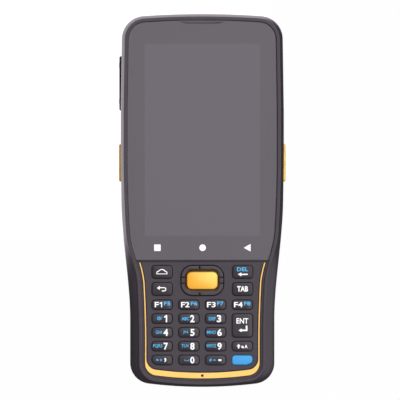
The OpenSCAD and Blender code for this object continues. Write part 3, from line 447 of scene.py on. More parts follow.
def frontHousing():
    lower, upper = outlineOf(bodyPlan), outlineOf(frontPlan)
    rings = [atHeight(blended(lower, upper, t), z) for z, t in foldLevels]
    for inset, up in roundSteps(front["rimRound"], 4):
        rings.append(atHeight(outlineOf(frontPlan, inset), shell["rim"] - front["rimRound"] + up))
    for (panelInset, panelZ), (keypadInset, keypadZ) in rimSteps:
        baseIn = front["wideBaseIn"] if keypadInset > front["wideFrom"] else 0
        outline = outlineOf(frontPlan, keypadInset, baseIn=baseIn, upperInset=panelInset)
        rings.append(stepped(outline, keypadZ, panelZ))
    ledge = outlineOf(frontPlan, front["ledgeInset"], baseIn=front["ledgeBaseIn"])
    rings.append(stepped(ledge, front["plateSeat"], front["panelSeat"]))
    rings.append(atHeight(ledge, front["ceiling"]))
    inner = blended(innerWall(bodyPlan), innerWall(frontPlan), front["wallMix"])
    rings += [atHeight(inner, z) for z in (front["ceiling"], shell["frontFrom"])]
    frameSolid = framedLoft("frontFrame", rings, sharp=30)
    halfBar = halfAt(frontPlan, front["barY"]) - front["barInset"]
    low, high, top, edge = front["barLow"], front["barHigh"], front["barTop"], front["barEdge"]
    slopeY, slopeZ = front["barSlope"]
    section = [(low, front["ceiling"]), (high, front["ceiling"]), (high, top - edge), (high - edge, top),
               (low + slopeY, front["barBase"] + slopeZ), (low, front["barBase"])]
    bar = closedLoft("stepBar", [[(x, y, z) for y, z in section] for x in (-halfBar, halfBar)])
    return joined("frontShell", [frameSolid, bar], sharp=30)


dress(frontHousing(), materials["housing"], "terminal", ["front_housing"])
print("front housing done")

# touch panel with its notch
panel = dict(gap=0.24, shift=-0.13, low=24.2, high=25.6, bottom=-27.0, edge=0.2, sideFrom=-24, endFrom=70,
             notchHalf=9.6, notchDepth=1.62, notchSlope=3.2, notchKnee=(0.5, 0.85), notchRoom=0.3,
             notchLip=0.1)


def panelContour(i):
    inset = front["rimInset"] + (panel["gap"] + i)
    y0 = panel["bottom"] + i
    path = [(0, y0), (halfAt(frontPlan, y0) - inset, y0)]
    for x, y in rightSide(frontPlan, inset):
        if y > panel["sideFrom"] and (y <= panel["endFrom"] or x >= panel["notchHalf"] + panel["notchRoom"]):
            path.append((x, y))
    topY, half = frontPlan["top"] - inset, panel["notchHalf"]
    kneeX, kneeY = panel["notchKnee"]
    path += [(half + i, topY - panel["notchLip"]), (half - kneeX + i, topY - kneeY),
             (half - panel["notchSlope"] + i, topY - panel["notchDepth"]), (0, topY - panel["notchDepth"])]
    return [(x + panel["shift"], y) for x, y in mirrored(path)]


touchPanel = platedSolid("touchPanelSheet", [panelContour], panel["low"], panel["high"], panel["edge"])
dress(touchPanel, materials["panel"], "terminal", ["touch_panel"])

# the lit area shows as a slightly warmer and lighter rectangle
active = dict(x=0, y=27.45, halfWidth=26.15, halfHeight=43.55, tone="5e5961")
activeInputs = dict(CentreX="x", CentreY="y", HalfWidth="halfWidth", HalfHeight="halfHeight")
activeMask = addNode(materials["panel"].node_tree, "ShaderNodeGroup",
                     {socket: active[key] * mm for socket, key in activeInputs.items()}, node_tree=windowTree)
tintOver(materials["panel"], activeMask.outputs["Mask"], active["tone"])


# geometry nodes: studs on given points, and ribs in a row
def newGeometryTree(name, inputs):
    tree = bpy.data.node_groups.new(name, "GeometryNodeTree")
    tree.interface.new_socket("Geometry", in_out="INPUT", socket_type="NodeSocketGeometry")
    for label, kind in inputs:
        tree.interface.new_socket(label, in_out="INPUT", socket_type="NodeSocket" + kind)
    tree.interface.new_socket("Finish", in_out="INPUT", socket_type="NodeSocketMaterial")
    tree.interface.new_socket("Geometry", in_out="OUTPUT", socket_type="NodeSocketGeometry")
    return tree, tree.nodes.new("NodeGroupInput").outputs


def closeTree(tree, given, points, shape):
    place = addNode(tree, "GeometryNodeInstanceOnPoints", {"Points": points, "Instance": shape})
    real = addNode(tree, "GeometryNodeRealizeInstances", {"Geometry": place.outputs["Instances"]})
    paint = addNode(tree, "GeometryNodeSetMaterial",
                    {"Geometry": real.outputs["Geometry"], "Material": given["Finish"]})
    addNode(tree, "NodeGroupOutput", {"Geometry": paint.outputs["Geometry"]})


studTree, studGiven = newGeometryTree("studsOnPoints", [("Radius", "Float"), ("Tip", "Float"),
                                                        ("Height", "Float"), ("Sides", "Int")])
studShape = addNode(studTree, "GeometryNodeMeshCone", {
    "Radius Bottom": studGiven["Radius"], "Radius Top": studGiven["Tip"], "Depth": studGiven["Height"],
    "Vertices": studGiven["Sides"]})
closeTree(studTree, studGiven, studGiven["Geometry"], studShape.outputs["Mesh"])

ribTree, ribGiven = newGeometryTree("ribsInARow", [("Size", "Vector"), ("Pitch", "Vector"),
                                                   ("Start", "Vector"), ("Count", "Int")])
ribShape = addNode(ribTree, "GeometryNodeMeshCube", {"Size": ribGiven["Size"]})
ribLine = addNode(ribTree, "GeometryNodeMeshLine", {
    "Count": ribGiven["Count"], "Start Location": ribGiven["Start"], "Offset": ribGiven["Pitch"]})
closeTree(ribTree, ribGiven, ribLine.outputs["Mesh"], ribShape.outputs["Mesh"])


def growNodes(name, tree, settings, points=(), bevel=0.0):
    mesh = bpy.data.meshes.new(name)
    mesh.from_pydata([(x * mm, y * mm, z * mm) for x, y, z in points], [], [])
    obj = newObject(name, mesh)
    modifier = obj.modifiers.new("grow", "NODES")
    modifier.node_group = tree
    for item in tree.interface.items_tree:
        if item.item_type == "SOCKET" and item.in_out == "INPUT" and item.name in settings:
            modifier[item.identifier] = settings[item.name]
    made = evaluatedMesh(obj)
    obj.modifiers.remove(modifier)
    bpy.data.objects.remove(obj)
    if bevel:
        bm = bmesh.new()
        bm.from_mesh(made)
        bmesh.ops.bevel(bm, geom=bm.edges[:], offset=bevel * mm, segments=1, affect="EDGES")
        bm.to_mesh(made)
        bm.free()
    return asObject(made, name)


def addStuds(name, tone, body, points, stud):
    settings = dict(Radius=stud["radius"] * mm, Tip=stud["tip"] * mm, Height=stud["height"] * mm,
                    Sides=stud["sides"], Finish=materials[tone])
    dress(growNodes(name, studTree, settings, points), materials[tone], body)


def addRibs(name, tone, body, start, rib):
    settings = dict(Size=[v * mm for v in rib["size"]], Pitch=(0, rib["pitch"] * mm, 0),
                    Start=[v * mm for v in start], Count=rib["count"], Finish=materials[tone])
    dress(growNodes(name, ribTree, settings, bevel=rib["bevel"]), materials[tone], body)


# the receiver's mesh fills the notch
receiver = dict(top=81.78, depth=1.68, half=9.45, slope=3.2, kneeX=0.5, kneeY=0.8, low=24.3, high=25.42,
                edge=0.06, pitch=1.21, rows=((15, 81.46), (14, 80.66)))  # rows: how many holes, at which y
receiverHole = dict(radius=0.36, tip=0.324, height=0.05, sides=8, sink=0.02)


def receiverContour(i):
    y1, y0 = receiver["top"] - i, receiver["top"] - receiver["depth"] + i
    w = receiver["half"] - i
    right = [(w - receiver["slope"], y0), (w - receiver["kneeX"], y1 - receiver["kneeY"]), (w, y1)]
    return right + [(-x, y) for x, y in reversed(right)]


dress(platedSolid("receiverPlate", [receiverContour], receiver["low"], receiver["high"], receiver["edge"]),
      materials["mesh"], "terminal", ["receiver_mesh"])
# the holes are flat black discs: painted shade in place of open holes
holes = [((k - (count - 1) / 2) * receiver["pitch"], y, receiver["high"] - receiverHole["sink"])
         for count, y in receiver["rows"] for k in range(count)]
addStuds("receiverPaintedHoleShade", "holeShade", "terminal", holes, receiverHole)
print("panel and receiver done")

# keypad: where the keys lie
keypad = dict(rim=2.4, trim=0.7, margin=2.8, colGap=2.65, rowGap=1.75, keyR=1.5, baseR=3.5, navY=-36.25,
              rowsTop=-45, rowsBase=-74.5, waistY=-54, sideKey=9.3, sideH=6, sideGap=1.7, plateLow=23.7,
              plateTop=24.9, keyTop=25.9, keyEdge=0.42, flangeLow=22.6, flangeTop=23.3, flange=0.6,
              flangeEdge=0.1, slim=0.12, gap=0.14, bandFrom=-28.9,
              crownSteps=(0.94, 0.86, 0.74, 0.6, 0.45, 0.3, 0.15))
ring = dict(w=19, h=13.3, bandX=1.5, bandY=1.3, r=5, innerR=3.1, edge=0.35, sink=0.1, low=23.75, lip=0.42,
            groove=0.4, innerEdge=0.08, innerDown=0.06, innerCorner=0.05,
            throatSteps=((0.1, 0.85), (0, 1), (0, 1.7)))
scan = dict(w=13.9, h=7.9, r=2.2, top=26.0, edge=0.55, flange=0.1)
keysHalf = halfAt(frontPlan, keypad["waistY"]) - keypad["rim"] - keypad["trim"] - keypad["margin"]
keyW = (2 * keysHalf - 3 * keypad["colGap"]) / 4
keyH = (keypad["rowsTop"] - keypad["rowsBase"] - 4 * keypad["rowGap"]) / 5
colX = [-keysHalf + keyW / 2 + k * (keyW + keypad["colGap"]) for k in range(4)]
rowY = [keypad["rowsTop"] - keyH / 2 - k * (keyH + keypad["rowGap"]) for k in range(5)]
sideH = keypad["sideH"]
sideX = keysHalf - keypad["sideKey"] / 2
sideDy = (sideH + keypad["sideGap"]) / 2
r0, r1 = keypad["keyR"], keypad["baseR"]
plain = [r0, r0, r0, r0]
keys = {
    "key_home": (-sideX, keypad["navY"] + sideDy, keypad["sideKey"], sideH, plain, "dome"),
    "key_back": (-sideX, keypad["navY"] - sideDy, keypad["sideKey"], sideH, plain, "dome"),
    "key_delete": (sideX, keypad["navY"] + sideDy, keypad["sideKey"], sideH, plain, "dome"),
    "key_tab": (sideX, keypad["navY"] - sideDy, keypad["sideKey"], sideH, plain, "dome"),
    "key_enter": (colX[3], (rowY[1] + rowY[2]) / 2, keyW, 2 * keyH + keypad["rowGap"], plain, "tall"),
    "key_shift": (colX[3], rowY[3], keyW, keyH, plain, "roof"),
    "key_comma": (colX[0], rowY[4], keyW, keyH, [r0, r0, r0, r1], "roof"),
    "key_0": (colX[1], rowY[4], keyW, keyH, plain, "roof"),
    "key_dash": (colX[2], rowY[4], keyW, keyH, plain, "roof"),
    "key_function": (colX[3], rowY[4], keyW, keyH, [r1, r0, r0, r0], "dome"),
}
for k in range(4):
    keys["key_f%d" % (k + 1)] = (colX[k], rowY[0], keyW, keyH, plain, "roof")
for k in range(9):
    keys["key_%d" % (k + 1)] = (colX[k % 3], rowY[1 + k // 3], keyW, keyH, plain, "roof")


def keyRing(key, grow):
    x, y, w, h, radii = key[:5]
    return roundRect(w + 2 * grow, h + 2 * grow, [max(0.1, q + grow) for q in radii], x, y)


def navOutline(w, h, r):
    return roundRect(w, h, [r] * 4, 0, keypad["navY"], 12)


def ringOutline(grow):
    return navOutline(ring["w"] + 2 * grow, ring["h"] + 2 * grow, ring["r"] + grow)


def scanOutline(grow):
    return navOutline(scan["w"] + 2 * grow, scan["h"] + 2 * grow, scan["r"] + grow)


# the front's outline below a height, closed by a straight edge
def lowerPath(inset, baseY, topY):
    right = rightSide(frontPlan, inset, baseIn=baseY - frontPlan["base"] - inset)
    return [p for p in right if p[1] < keypad["bandFrom"]] + [(halfAt(frontPlan, topY) - inset, topY)]


# keypad plate, the trim round it, and a dark band under the trim that shows as a fine line on both sides of
# it: painted shade in the gaps
plate = dict(inset=3.76, base=-77.57, top=-27.9, fillet=0.12)
trim = dict(outer=2.72, inner=3.32, outerBase=-80.6, innerBase=-78.02, low=23.7, high=25.2, round=0.22,
            start=-28.1, micR=0.6, micY=-79.3)
gapShadeBand = dict(outer=2.32, inner=3.74, outerBase=-80.86, innerBase=-77.66, low=23.72, high=24.86, round=0.04,
           start=-28.15)


def plateContour(i):
    top = plate["top"] - i
    return mirrored(lowerPath(plate["inset"] + i, plate["base"] + i, top) + [(0, top)])


# a band round the keypad, open at the top: along its outer edge and back along its inner one
def bandContour(band, i):
    outer = lowerPath(band["outer"] + i, band["outerBase"] + i, band["start"] - i)
    inner = lowerPath(band["inner"] - i, band["innerBase"] - i, band["start"] - i)
    outerPath, innerPath = ([(-x, y) for x, y in reversed(side[1:])] + side for side in (outer, inner))
    return outerPath + innerPath[::-1]


def discAt(x, y, r, steps=32):
    return lambda grow: arcPoints(x, y, r + grow, 0, 2 * pi, steps)[:-1]


plateHoles = [lambda i, key=key: keyRing(key, keypad["gap"] + i) for key in keys.values()]
plateHoles.append(lambda i: ringOutline(ring["groove"] + i))
dress(platedSolid("keypadPlateSheet", [plateContour] + plateHoles, keypad["plateLow"], keypad["plateTop"],
                  plate["fillet"]), materials["plate"], "terminal", ["keypad_plate"])
trimContours = [lambda i: bandContour(trim, i), discAt(0, trim["micY"], trim["micR"], 24)]
dress(platedSolid("keypadTrimBand", trimContours, trim["low"], trim["high"], trim["round"], steps=4),
      materials["trim"], "terminal", ["keypad_trim"])
# painted shade: a dark band seen in the narrow gaps on both sides of the trim
dress(platedSolid("keypadTrimGapShade", [lambda i: bandContour(gapShadeBand, i)], gapShadeBand["low"], gapShadeBand["high"], gapShadeBand["round"]),
      materials["groove"], "terminal")
print("plate and trim done")

# how far a key's top falls towards its edges: u runs across it and v up it, both from -1 to 1
roofCap = dict(fold=0.46, soft=0.006, fall=0.85, rise=0.06, ends=0.2)
tallCap = dict(fold=0.6, soft=0.01, fall=0.9, rise=0.06, ends=0.22)
scanDome = dict(across=0.8, along=0.65)
keyDome = 0.22


def capDrop(style, u, v):
    if style == "roof":
        t = u - roofCap["fold"]
        bend = sqrt(t * t + roofCap["soft"])
        return roofCap["fall"] * (bend + t) + roofCap["rise"] * (bend - t) + roofCap["ends"] * v * v
    if style == "tall":
        t = u - tallCap["fold"]
        bend = sqrt(t * t + tallCap["soft"])
        return tallCap["fall"] * (bend + t) + tallCap["rise"] * (1 - u) + tallCap["ends"] * v ** 4
    if style == "scan":
        return scanDome["across"] * u * u + scanDome["along"] * v * v
    return keyDome * (u * u + v * v)


def capHeight(key, x, y):
    cx, cy, w, h, radii, style = key
    return -capDrop(style, (x - cx) / (w / 2), (y - cy) / (h / 2))


def keyCap(name, outlineAt, key, top, flange, fillet):
    def onTop(points, down=0):
        return vertRing(bm, [(x, y, top + capHeight(key, x, y) - down) for x, y in points])

    bm = bmesh.new()
    cx, cy = key[:2]
    low, flangeTop, edge = keypad["flangeLow"], keypad["flangeTop"], keypad["flangeEdge"]
    levels = [(flange, low), (flange, flangeTop - edge), (flange - edge, flangeTop), (0, flangeTop)]
    rings = [vertRing(bm, atHeight(outlineAt(grow), z)) for grow, z in levels]
    rings += [onTop(outlineAt(-inset), fillet - up) for inset, up in roundSteps(fillet, 5)]
    rim = outlineAt(-fillet)
    for s in keypad["crownSteps"]:
        rings.append(onTop([(cx + (x - cx) * s, cy + (y - cy) * s) for x, y in rim]))
    bridgeAndCap(bm, rings)
    return finishMesh(bm, name, sharp=50)


for name, key in keys.items():
    blue = name == "key_function"
    cap = keyCap(name + "_cap", lambda grow, key=key: keyRing(key, grow - keypad["slim"]), key,
                 keypad["keyTop"], keypad["flange"], keypad["keyEdge"])
    dress(cap, materials["keyBlue" if blue else "keyDark"], name, [name])
print("keys:", len(keys))

scanKey = (0, keypad["navY"], scan["w"], scan["h"], [scan["r"]] * 4, "scan")
scanCap = keyCap("scan_key_cap", scanOutline, scanKey, scan["top"], scan["flange"], scan["edge"])
dress(scanCap, materials["scan"], "scan_key", ["scan_key"])

# painted highlight: the scan key's colour goes from amber at its lower left to pale yellow at its upper right
scanPaintedHighlight = dict(startX=0.5, startY=0.6, slopeX=70, slopeY=90, tone="f6e070")
scanTree = materials["scan"].node_tree
scanHighlightRamp = addNode(scanTree, "ShaderNodeMapping", {
    "Vector": objectPlace(scanTree), "Scale": (scanPaintedHighlight["slopeX"], scanPaintedHighlight["slopeY"], 1),
    "Location": (scanPaintedHighlight["startX"], scanPaintedHighlight["startY"] - keypad["navY"] * mm * scanPaintedHighlight["slopeY"], 0)})
scanHighlightAxes = axesOf(scanTree, scanHighlightRamp.outputs["Vector"])
tintOver(materials["scan"], mathNode(scanTree, "MULTIPLY", scanHighlightAxes["X"], scanHighlightAxes["Y"], clamp=True),
         scanPaintedHighlight["tone"])

# navigation ring
ringTop = keypad["keyTop"] - ring["sink"]
innerW, innerH = ring["w"] - 2 * ring["bandX"], ring["h"] - 2 * ring["bandY"]


def navRing():
    edge, innerR, innerInset = ring["edge"], ring["innerR"], 2 * ring["innerEdge"]
    rings = [atHeight(ringOutline(0), ring["low"])]
    rings += [atHeight(ringOutline(-inset), ringTop - edge + up) for inset, up in roundSteps(edge, 5)]
    rings.append(atHeight(navOutline(innerW, innerH, innerR), ringTop))
    rings.append(atHeight(navOutline(innerW - innerInset, innerH - innerInset, innerR - ring["innerCorner"]),
                          ringTop - ring["innerDown"]))
    for grow, down in ring["throatSteps"]:
        rings.append(atHeight(scanOutline(ring["lip"] + grow), ringTop - down))
    return framedLoft("navRingBand", rings, sharp=40)


# direction marks: a raised pad on each side with cuts at its ends, above and below only at the left end
marks = dict(wide=0.42, cut=0.36, gap=0.4, overlap=0.1, short=0.22, deep=24.7, cutTop=27, shadeFillLow=24.6,
             shadeFillTop=25.55, padLow=25.5, padTop=25.97, along=(-1.15, 1.9), across=(-1.2, 1.5))
pads, padCuts, cutShadeFills = [], [], []
for sx, sy in ((0, 1), (0, -1), (1, 0), (-1, 0)):
    cx = sx * (ring["w"] - ring["bandX"]) / 2
    cy = keypad["navY"] + sy * (ring["h"] - ring["bandY"]) / 2
    band = (ring["bandY"] if sy else ring["bandX"]) / 2 + marks["overlap"]
    halfX, halfY = (marks["cut"], band) if sy else (band, marks["cut"])
    ends = marks["along"] if sy else marks["across"]
    for end in ends[:1] if sy else ends:
        ex, ey = (cx + end, cy) if sy else (cx, cy + end)
        shortY = halfY - marks["short"]
        x0, x1 = ex - halfX, ex + halfX
        padCuts.append(blockSolid("cutter", x0, x1, ey - halfY, ey + halfY, marks["deep"],
                                  marks["cutTop"], 0))
        # a black fill in each cut: painted shade, so that the cut looks deep
        cutShadeFills.append(blockSolid("cutShadeFill", x0, x1, ey - shortY, ey + shortY, marks["shadeFillLow"],
                                    marks["shadeFillTop"], 0.02))
    start, stop, wide = ends[0] + marks["gap"], ends[1] - marks["gap"], marks["wide"]
    if sy:
        span = (cx + start, cx + stop, cy - wide, cy + wide)
    else:
        span = (cx - wide, cx + wide, cy + start, cy + stop)
    pads.append(blockSolid("pad", *span, marks["padLow"], marks["padTop"], 0.1))
ringBand = joined("nav_ring_band", [carve(navRing(), padCuts, sharp=40)] + pads)
dress(ringBand, materials["ring"], "nav_ring", ["nav_ring"])
# the black cut fills are painted shade
dress(joined("nav_ring_cut_painted_shade", cutShadeFills), materials["holeShade"], "nav_ring")

# a thin brown sheet over the ring's throat: painted reflection of the yellow scan key
throat = dict(clear=0.56, slack=0.1, lift=0.05, down=(0.04, 0.78, 0.9, 0.16))
slack = throat["slack"]
faceLoop = navOutline(innerW - slack, innerH - slack, ring["innerR"] - slack / 2)
lowLoop = scanOutline(throat["clear"])
underLoop = navOutline(innerW, innerH, ring["innerR"])
throatRings = [atHeight(loop, ringTop - down + throat["lift"])
               for loop, down in zip((faceLoop, lowLoop, lowLoop, underLoop), throat["down"])]
dress(framedLoft("nav_ring_throat_painted_reflection", throatRings, sharp=40), materials["throat"], "nav_ring")
print("navigation done")


# printed legends, pressed onto the curve of each key
def meshOfCurve(curve):
    obj = newObject("legend", curve)
    mesh = evaluatedMesh(obj)
    bpy.data.objects.remove(obj)
    return mesh


def flatText(text, bold):
    curve = bpy.data.curves.new("legend", "FONT")
    curve.body = text
    curve.size = 1
    curve.offset = bold
    curve.resolution_u = 3
    curve.extrude = 0.01
    return meshOfCurve(curve)


def strokeMesh(points, closed, width):
    curve = bpy.data.curves.new("stroke", "CURVE")
    curve.dimensions = "3D"
    curve.bevel_depth = width / 2
    curve.bevel_resolution = 2
    curve.use_fill_caps = True
    spline = curve.splines.new("POLY")
    spline.points.add(len(points) - 1)
    for point, (x, y) in zip(spline.points, points):
        point.co = (x, y, 0, 1)
    spline.use_cyclic_u = closed
    return meshOfCurve(curve)


def shapeMesh(points):
    bm = bmesh.new()
    bridgeAndCap(bm, [[bm.verts.new((x, y, z)) for x, y in points] for z in (-0.01, 0.01)])
    bmesh.ops.triangulate(bm, faces=bm.faces[:])
    bmesh.ops.recalc_face_normals(bm, faces=bm.faces[:])
    return meshFrom(bm, "shape")


# fits a flat mesh into a box of w by h about (cx, cy), cuts it into small cells and lays it on a surface
def laid(mesh, cx, cy, w, h, surface, thick=0.035, cell=0.45):
    xs = [v.co.x for v in mesh.vertices]
    ys = [v.co.y for v in mesh.vertices]
    halfZ = max(max(v.co.z for v in mesh.vertices), 1e-6)
    midX, midY = (min(xs) + max(xs)) / 2, (min(ys) + max(ys)) / 2
    sx, sy = w / (max(xs) - min(xs)), h / (max(ys) - min(ys))
    bm = bmesh.new()
    bm.from_mesh(mesh)
    for v in bm.verts:
        v.co = Vector(((v.co.x - midX) * sx, (v.co.y - midY) * sy, v.co.z / halfZ))
    for size, normal in ((w, Vector((1, 0, 0))), (h, Vector((0, 1, 0)))):
        count = int(size / cell)
        for k in range(1, count + 1):
            place = normal * (size * (k / (count + 1) - 0.5))
            everything = bm.verts[:] + bm.edges[:] + bm.faces[:]
            bmesh.ops.bisect_plane(bm, geom=everything, plane_co=place, plane_no=normal)
    for v in bm.verts:
        x, y = cx + v.co.x, cy + v.co.y
        v.co = Vector((x * mm, y * mm, (surface(x, y) + thick * v.co.z) * mm))
    bm.to_mesh(mesh)
    bm.free()
    return mesh


def legendObject(name, meshes, body, tone):
    bm = bmesh.new()
    for mesh in meshes:
        bm.from_mesh(mesh)
        bpy.data.meshes.remove(mesh)
    dress(asObject(meshFrom(bm, name), name, sharp=60), materials[tone], body)


white, blue = "printWhite", "printBlue"
# key: (text, x, y, width, height, colour, boldness), all from the key's middle
texts = {
    "key_1": [("@/", -1.13, 0.15, 2.45, 1.75, blue, 0.015)],
    "key_2": [("2", 1.55, 0, 1.95, 3.3, white, 0.03), ("ABC", -1.57, 0, 3.6, 1.55, blue, 0.02)],
    "key_3": [("3", 1.53, 0, 2.0, 3.3, white, 0.03), ("DEF", -1.52, 0, 3.15, 1.55, blue, 0.02)],
    "key_4": [("4", 1.6, 0, 2.15, 3.2, white, 0.03), ("GHI", -1.5, 0.1, 2.85, 1.5, blue, 0.012)],
    "key_5": [("5", 1.6, 0, 1.95, 3.2, white, 0.03), ("JKL", -1.35, 0.1, 2.65, 1.5, blue, 0.012)],
    "key_6": [("6", 1.78, 0, 2.1, 3.2, white, 0.03), ("MNO", -1.9, 0.1, 4.1, 1.5, blue, 0.012)],
    "key_7": [("7", 1.68, 0, 1.95, 3.2, white, 0.03), ("PQRS", -2.0, 0.1, 4.25, 1.7, blue, 0.012)],
    "key_8": [("8", 1.58, 0, 1.98, 3.2, white, 0.03), ("TUV", -1.65, 0.2, 3.45, 1.5, blue, 0.012)],
    "key_9": [("9", 1.78, 0, 2.0, 3.2, white, 0.03), ("WXYZ", -1.97, 0.2, 4.45, 1.5, blue, 0.012)],
    "key_0": [("0", 1.55, 0, 1.95, 3.05, white, 0.03)],
    "key_comma": [(",", 1.42, 0, 0.85, 2.0, white, 0.03), ("*", -2.2, 0.1, 1.15, 1.25, blue, 0.012),
                  ("+", -0.55, 0.05, 1.2, 1.2, blue, 0.012)],
    "key_dash": [("#", -2.3, 0.05, 1.2, 1.4, blue, 0.012)],
    "key_f1": [("F", -2.45, 0.1, 1.9, 2.4, white, 0.02), ("F5", 2.26, 0.6, 2.9, 1.7, blue, 0.02)],
    "key_f2": [("F2", -1.63, 0.1, 3.8, 2.4, white, 0.02), ("F6", 2.35, 0.6, 2.9, 1.7, blue, 0.02)],
    "key_f3": [("F3", -1.95, 0.1, 3.95, 2.4, white, 0.02), ("F7", 2.08, 0.6, 2.8, 1.7, blue, 0.02)],
    "key_f4": [("F4", -1.81, 0.1, 3.9, 2.4, white, 0.02), ("F8", 2.2, 0.6, 2.85, 1.7, blue, 0.02)],
    "key_enter": [("ENT", 0, 2.13, 5.4, 2.4, white, 0.02)],
    "key_tab": [("TAB", 0, 0.1, 4.95, 2.5, white, 0.035)],
    "key_delete": [("DEL", 0, 1.25, 5.0, 1.75, blue, 0.02)],
    "key_shift": [("a", 0.1, -0.3, 1.1, 1.1, white, 0.04), ("A", 1.65, -0.05, 1.35, 1.6, white, 0.03)],
}
arrowLeft = [(-1, 0), (-0.28, 0.62), (-0.28, 0.2), (1, 0.2), (1, -0.2), (-0.28, -0.2), (-0.28, -0.62)]
arrowUp = [(0, 1), (1, 0), (0.34, 0), (0.34, -1), (-0.34, -1), (-0.34, 0), (-1, 0)]
returnHead = [(-2.0, -0.62), (-0.75, 0.2), (-0.75, -0.3), (0.9, -0.3), (0.9, 1.5), (1.6, 1.5), (1.6, -0.95),
              (-0.75, -0.95), (-0.75, -1.45)]
homeRoof = [(-2.3, -0.95), (-2.3, -0.3), (-1.95, 0.1), (-1.35, 0.32), (-0.95, 0.7), (-0.5, 0.92), (0, 0.98),
            (0.5, 0.92), (0.95, 0.7), (1.35, 0.32), (1.95, 0.1), (2.3, -0.3), (2.3, -0.95)]
backBend = arcPoints(1.3, -0.2, 0.75, radians(60), radians(-90), 5)
backLoop = [(-1.7, 0.55), (1.3, 0.55)] + backBend + [(0.1, -0.95)]
spaceCup = [(-0.95, 0.35), (-0.95, -0.35), (0.95, -0.35), (0.95, 0.35)]
oneShape = [(0.1, -1), (0.1, 0.42), (-0.5, 0.22), (-0.5, 0.52), (0.2, 1), (0.5, 1), (0.5, -1)]
block = [(-1, -1), (1, -1), (1, 1), (-1, 1)]
# key: (kind, points, x, y, width, height, colour, stroke), all from the key's middle
icons = {
    "key_1": [("fill", oneShape, 1.55, 0, 1.4, 3.3, white, 0)],
    "key_f1": [("fill", oneShape, -0.6, 0.1, 1.15, 2.4, white, 0)],
    "key_delete": [("fill", arrowLeft, 0.1, -1.05, 4.5, 1.7, white, 0)],
    "key_shift": [("fill", arrowUp, -1.7, 0, 1.9, 2.0, white, 0)],
    "key_enter": [("fill", returnHead, 0.3, -1.5, 4.0, 3.0, white, 0)],
    "key_home": [("loop", homeRoof, -0.05, 0.18, 5.0, 2.35, white, 0.42)],
    "key_back": [("line", backLoop, 0.12, -0.1, 3.7, 1.9, white, 0.46),
                 ("fill", [(-1, 0), (0.6, 1), (0.6, -1)], -1.7, 0.5, 1.3, 1.9, white, 0)],
    "key_0": [("line", spaceCup, -0.95, 0, 2.1, 0.8, blue, 0.3)],
    "key_dash": [("fill", block, 1.9, 0, 1.35, 0.8, white, 0), ("fill", block, -0.55, 0, 1.1, 0.42, blue, 0)],
}


def onKey(mesh, key, dx, dy, w, h):
    return laid(mesh, key[0] + dx, key[1] + dy, w, h, lambda x, y: keypad["keyTop"] + capHeight(key, x, y))


for name, key in keys.items():
    byTone = {}
    for text, dx, dy, w, h, tone, bold in texts.get(name, []):
        byTone.setdefault(tone, []).append(onKey(flatText(text, bold), key, dx, dy, w, h))
    for kind, points, dx, dy, w, h, tone, stroke in icons.get(name, []):
        icon = shapeMesh(points) if kind == "fill" else strokeMesh(points, kind == "loop", stroke)
        byTone.setdefault(tone, []).append(onKey(icon, key, dx, dy, w, h))
    for tone, meshes in byTone.items():
        legendObject(name + ("_white" if tone == white else "_blue"), meshes, name, tone)

# two dots that a finger finds on the middle key
tactile = dict(reach=3.7, radius=0.32, tip=0.16, height=0.16, sides=16)
middleKey = keys["key_5"]
dots = [(x, middleKey[1], keypad["keyTop"] + capHeight(middleKey, x, middleKey[1]))
        for x in (middleKey[0] - tactile["reach"], middleKey[0] + tactile["reach"])]
addStuds("tactileStuds", "keyDark", "key_5", dots, tactile)

# three touch icons under the lit area: outline, x, width and height
touchIcons = dict(y=-21.4, z=25.605, thick=0.02)
touchShapes = [
    (roundRect(1, 1, [0.04] * 4, steps=2), -20.3, 2.95, 2.95),
    (discAt(0, 0, 0.5, 40)(0), 0.15, 2.98, 2.98),
    ([(-0.5, 0), (0.5, -0.5), (0.5, 0.5)], 20.32, 3.1, 3.42),
]
touchMeshes = [laid(shapeMesh(outline), x, touchIcons["y"], w, h, lambda x, y: touchIcons["z"],
                    touchIcons["thick"]) for outline, x, w, h in touchShapes]
legendObject("touchIconPrint", touchMeshes, "terminal", "printWhite")
print("legends done")

# side keys: shapes are drawn flat with their height pointing out of the wall
sideKeys = dict(triggerY=17.05, triggerLen=17, triggerH=7, rockerY=53.15, rockerLen=24.7, rockerH=5, z=10.2,
                corner=1.4, proud=0.85, flange=1.1, flangeLow=-1.1, flangeHigh=-0.3, round=0.6, crown=0.05,
                crownSteps=(0.85, 0.6, 0.3))


# profiles along here hold how far a shape grows and how far out of the wall it lies
def sideRing(y, length, height, side, grow, out, shrink=1):
    wall = halfAt(bodyPlan, y) - shell["sideWall"]
    flat = roundRect(height + 2 * grow, length + 2 * grow, [sideKeys["corner"] + grow] * 4)
    return [(side * (wall + out), y + ly * shrink, sideKeys["z"] - lx * shrink) for lx, ly in flat]


def sideSolid(name, y, length, height, side, profile, crown=0.0):
    grow, out = profile[-1]
    levels = profile + [(grow, out + crown * (1 - s * s), s) for s in sideKeys["crownSteps"]]
    return closedLoft(name, [sideRing(y, length, height, side, *level) for level in levels], sharp=40)


def sideProfile(flange):
    low, high, edge = sideKeys["flangeLow"], sideKeys["flangeHigh"], sideKeys["round"]
    top = shell["sideWall"] + sideKeys["proud"] - edge
    profile = [(flange, low), (flange, high), (0, high)]
    return profile + [(-inset, top + up) for inset, up in roundSteps(edge, 5)]


triggerY, triggerLen, triggerH = sideKeys["triggerY"], sideKeys["triggerLen"], sideKeys["triggerH"]
triggerRibs = dict(size=(0.3, 0.5, 4.2), pitch=1.6, count=5, bevel=0.1, x=37.66, down=3.2)
